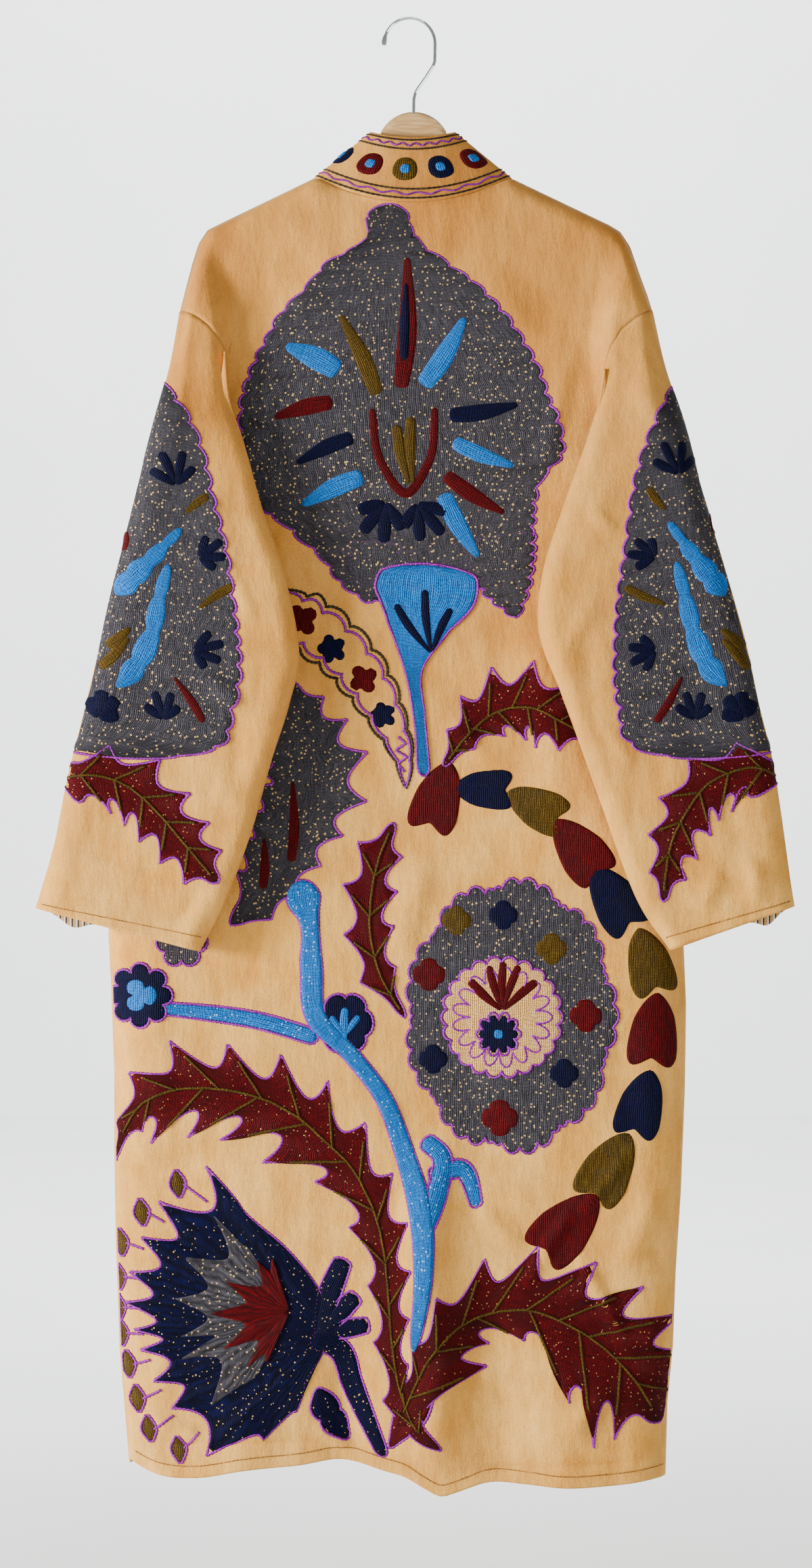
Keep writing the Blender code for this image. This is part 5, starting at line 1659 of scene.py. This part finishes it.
strips = {"collar": collar, "band_left": band_points(-1), "band_right": band_points(1)}
for name, strip in strips.items():
    PLACES[name], length = on_strip(strip)
    wide = np.linalg.norm(strip[len(strip) // 2, -1] - strip[len(strip) // 2, 0])
    count = int(length / RING_PITCH / 2)
    rings = np.arange(-count, count + 1) * RING_PITCH - RING_SHIFT
    rings = rings[np.abs(rings) < length / 2 - RING_PITCH / 2]
    trim(name, length, wide, rings)
    print(f"{name}: {length:.3f} m long, {wide:.3f} m wide, {len(rings)} rings")

# %% [markdown]
# ## Silk
#
# Floss silk lies in close parallel rows and shines across them. The shader reads the stitch coordinates of
# each pad: rows 1.9 mm apart run along the motif as fine bump, and painted shade darkens the grooves
# between the rows and between the stitches. The dark fill and the open rows were worked loosely and have
# worn, so pale velvet shows through as small dots.

# %% Silk and the stitched objects
ROW_PITCH = 1.9 * MM
LINK_PITCH = 2.8 * MM


def floss_silk(name, base, light, speckle=None, dot=0.19):
    """Floss silk in laid rows: two tones along the thread, painted shade in the grooves between rows and
    stitches, row bump, soft sheen, pale gaps if worn.
    """
    material, sockets, place = new_material(name)
    stitch = add_node(material, "UVMap", uv_map="stitch")
    across = add_node(material, "SeparateXYZ", links={"Vector": stitch}, out="X")
    along = add_node(material, "SeparateXYZ", links={"Vector": stitch}, out="Y")
    wander = add_node(material, "TexNoise", {"Scale": 1 / (12 * MM), "Detail": 2}, {"Vector": place})
    turns = add_node(material, "Math", {1: 2 * np.pi / ROW_PITCH}, {0: across}, operation="MULTIPLY")
    bent = add_node(material, "Math", {1: 9.0}, {0: wander, 2: turns}, operation="MULTIPLY_ADD")
    rows = add_node(material, "Math", links={0: bent}, operation="SINE")
    steps = add_node(material, "Math", {1: 2 * np.pi / LINK_PITCH}, {0: along}, operation="MULTIPLY")
    late = add_node(material, "Math", {1: 26.0}, {0: wander, 2: steps}, operation="MULTIPLY_ADD")
    loops = add_node(material, "Math", links={0: late}, operation="SINE")
    rows = add_node(material, "Math", {1: 0.32, 2: 0.5}, {0: rows}, operation="MULTIPLY_ADD")
    rows = add_node(material, "Math", {1: 0.18}, {0: loops, 2: rows}, operation="MULTIPLY_ADD")
    long = add_node(material, "Mapping", {"Scale": (1.0, 0.12, 1.0)}, {"Vector": stitch})
    thread = add_node(material, "TexNoise", {"Scale": 1 / (1.6 * MM), "Roughness": 0.6}, {"Vector": long})
    tone = add_node(material, "ValToRGB", links={"Fac": thread}, stops=((0.34, base), (0.68, light)))
    # Painted shade: this ramp darkens the colour in the grooves between the rows and between the stitches.
    deep = add_node(material, "ValToRGB", links={"Fac": rows}, stops=((0.1, "#7C7C7C"), (0.6, "#FFFFFF")))
    row_shade_and_wear = add_node(material, "Mix", {0: 0.85}, {6: tone, 7: deep}, blend_type="MULTIPLY", **MIX)
    if speckle:
        cells = add_node(material, "TexVoronoi", {"Scale": 1 / (4.2 * MM)}, {"Vector": place})
        rough = add_node(material, "TexNoise", {"Scale": 1 / (2.6 * MM), "Detail": 1}, {"Vector": place})
        uneven = add_node(material, "Math", {1: 0.3}, {0: rough, 2: cells}, operation="MULTIPLY_ADD")
        edge = dot + 0.15
        stops = ((edge, "#FFFFFF"), (edge + 0.06, "#000000"))
        gaps = add_node(material, "ValToRGB", links={"Fac": uneven}, stops=stops)
        row_shade_and_wear = add_node(material, "Mix", {7: colour_of(speckle)}, {0: gaps, 6: row_shade_and_wear}, **MIX)
    material.node_tree.links.new(row_shade_and_wear, sockets["Base Color"])
    sockets["Roughness"].default_value = 0.62
    sockets["Specular IOR Level"].default_value = 0.07
    sockets["Sheen Weight"].default_value = 0.02
    soft = add_node(material, "Bump", {"Distance": 0.6 * MM, "Strength": 0.9}, {"Height": rows})
    threads = {"Distance": 0.3 * MM, "Strength": 0.6}
    fine = add_node(material, "Bump", threads, {"Height": thread, "Normal": soft})
    material.node_tree.links.new(fine, sockets["Normal"])
    return material


SILKS = {
    "charcoal_silk": floss_silk("charcoal_floss_silk_worn", "#2B292C", "#4E4A50", "#C9A468", 0.17),
    "navy_silk": floss_silk("navy_floss_silk", "#010216", "#040632"),
    "navy_open": floss_silk("navy_floss_silk_open_rows", "#010216", "#040632", "#C9A468", 0.1),
    "maroon_silk": floss_silk("maroon_floss_silk", "#380002", "#5E0106"),
    "maroon_open": floss_silk("maroon_floss_silk_open_rows", "#380103", "#600308", "#C08850", 0.09),
    "blue_silk": floss_silk("blue_floss_silk", "#0B55A0", "#2480D2"),
    "blue_open": floss_silk("blue_floss_silk_open_rows", "#0B55A0", "#2480D2", "#A9CBE6", 0.14),
    "olive_silk": floss_silk("olive_floss_silk", "#3A2905", "#5E4610"),
    "cream_silk": floss_silk("cream_floss_silk", "#D89A52", "#EDBE80"),
    "purple_silk": floss_silk("purple_twisted_silk", "#7A1488", "#A62EB2"),
    "dark_silk": floss_silk("dark_twisted_silk", "#2A241A", "#443C2C"),
    "hem_silk": floss_silk("ochre_sewing_thread", "#A8702E", "#C88E48"),
}
total = 0
for kind, groups in (("pads", pads), ("chains", chains)):
    for colour, parts in groups.items():
        points, faces, uv = merged(parts)
        made = add_mesh(f"{kind}_{colour}", points, faces, uv)
        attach(made, "root")
        dress([made], SILKS[colour])
        total += 2 * len(faces)
        print(f"{kind} {colour}: {2 * len(faces)} triangles")
print("stitches in all", total)

# %% [markdown]
# ## The room, the light and the camera
#
# The coat hangs in a pale studio, well before its wall, so that it can be looked at from all round. A
# soft light rakes across the cloth from the left, so that its creases show. A broad, weaker one stands
# low on the right, because the hem is the brightest part in the photo. A faint one comes from above,
# and the last one washes the wall.

# %% Stage
def add_plane(name, corners, material):
    """A flat stage piece from its four corners."""
    mesh = bpy.data.meshes.new(name)
    mesh.from_pydata(corners, [], [(0, 1, 2, 3)])
    made = bpy.data.objects.new(name, mesh)
    bpy.context.scene.collection.objects.link(made)
    made.data.materials.append(material)
    return made


paper, sheet_sockets, paper_place = new_material("pale_studio_paper")
cloudy = add_node(paper, "TexNoise", {"Scale": 2.0, "Detail": 2}, {"Vector": paper_place})
tone = add_node(paper, "ValToRGB", links={"Fac": cloudy}, stops=((0.3, "#F0F3F2"), (0.7, "#F6F8F7")))
paper.node_tree.links.new(tone, sheet_sockets["Base Color"])
sheet_sockets["Roughness"].default_value = 0.9
WALL_AT, FLOOR_AT, HALF = 6.0, -1.52, 9.0
WALL = [(-HALF, WALL_AT, FLOOR_AT), (HALF, WALL_AT, FLOOR_AT), (HALF, WALL_AT, 5.0), (-HALF, WALL_AT, 5.0)]
FLOOR = [(-HALF, -9, FLOOR_AT), (HALF, -9, FLOOR_AT), (HALF, WALL_AT, FLOOR_AT), (-HALF, WALL_AT, FLOOR_AT)]
add_plane("backdrop", WALL, paper)
add_plane("floor", FLOOR, paper)


def add_light(name, size, power, place, target):
    """A square soft light that faces its target."""
    lamp = bpy.data.lights.new(name, "AREA")
    lamp.size = size
    lamp.energy = power
    made = bpy.data.objects.new(name, lamp)
    made.location = place
    made.rotation_euler = (Vector(target) - Vector(place)).to_track_quat("-Z", "Y").to_euler()
    bpy.context.scene.collection.objects.link(made)


MIDDLE = (0, 0, -0.8)
add_light("soft_left", 0.9, 300, (-3.2, -1.35, -0.5), MIDDLE)
add_light("soft_right", 2.0, 60, (1.6, -3.4, -1.4), MIDDLE)
add_light("soft_top", 1.2, 7, (0.2, -1.4, 1.4), MIDDLE)
add_light("wall_wash", 3.0, 520, (0, 2.2, 2.6), (0, WALL_AT, -0.4))
world = bpy.data.worlds.new("room")
world.use_nodes = True
world.node_tree.nodes["Background"].inputs["Color"].default_value = colour_of("#F2F4F5")
world.node_tree.nodes["Background"].inputs["Strength"].default_value = 0.5
bpy.context.scene.world = world

# %% [markdown]
# The photo was taken from about the middle of the coat's height, straight at its back, so the camera
# stands there too, far enough off to see the coat almost without perspective.

# %% Camera
camera_data = bpy.data.cameras.new("camera")
camera_data.sensor_fit = "VERTICAL"
camera_data.sensor_height = 24
camera_data.lens = 60
camera = bpy.data.objects.new("camera", camera_data)
camera.location = (-0.0033, -3.62, -0.7058)
camera.rotation_euler = (np.pi / 2, 0, 0)
bpy.context.scene.collection.objects.link(camera)
bpy.context.scene.camera = camera
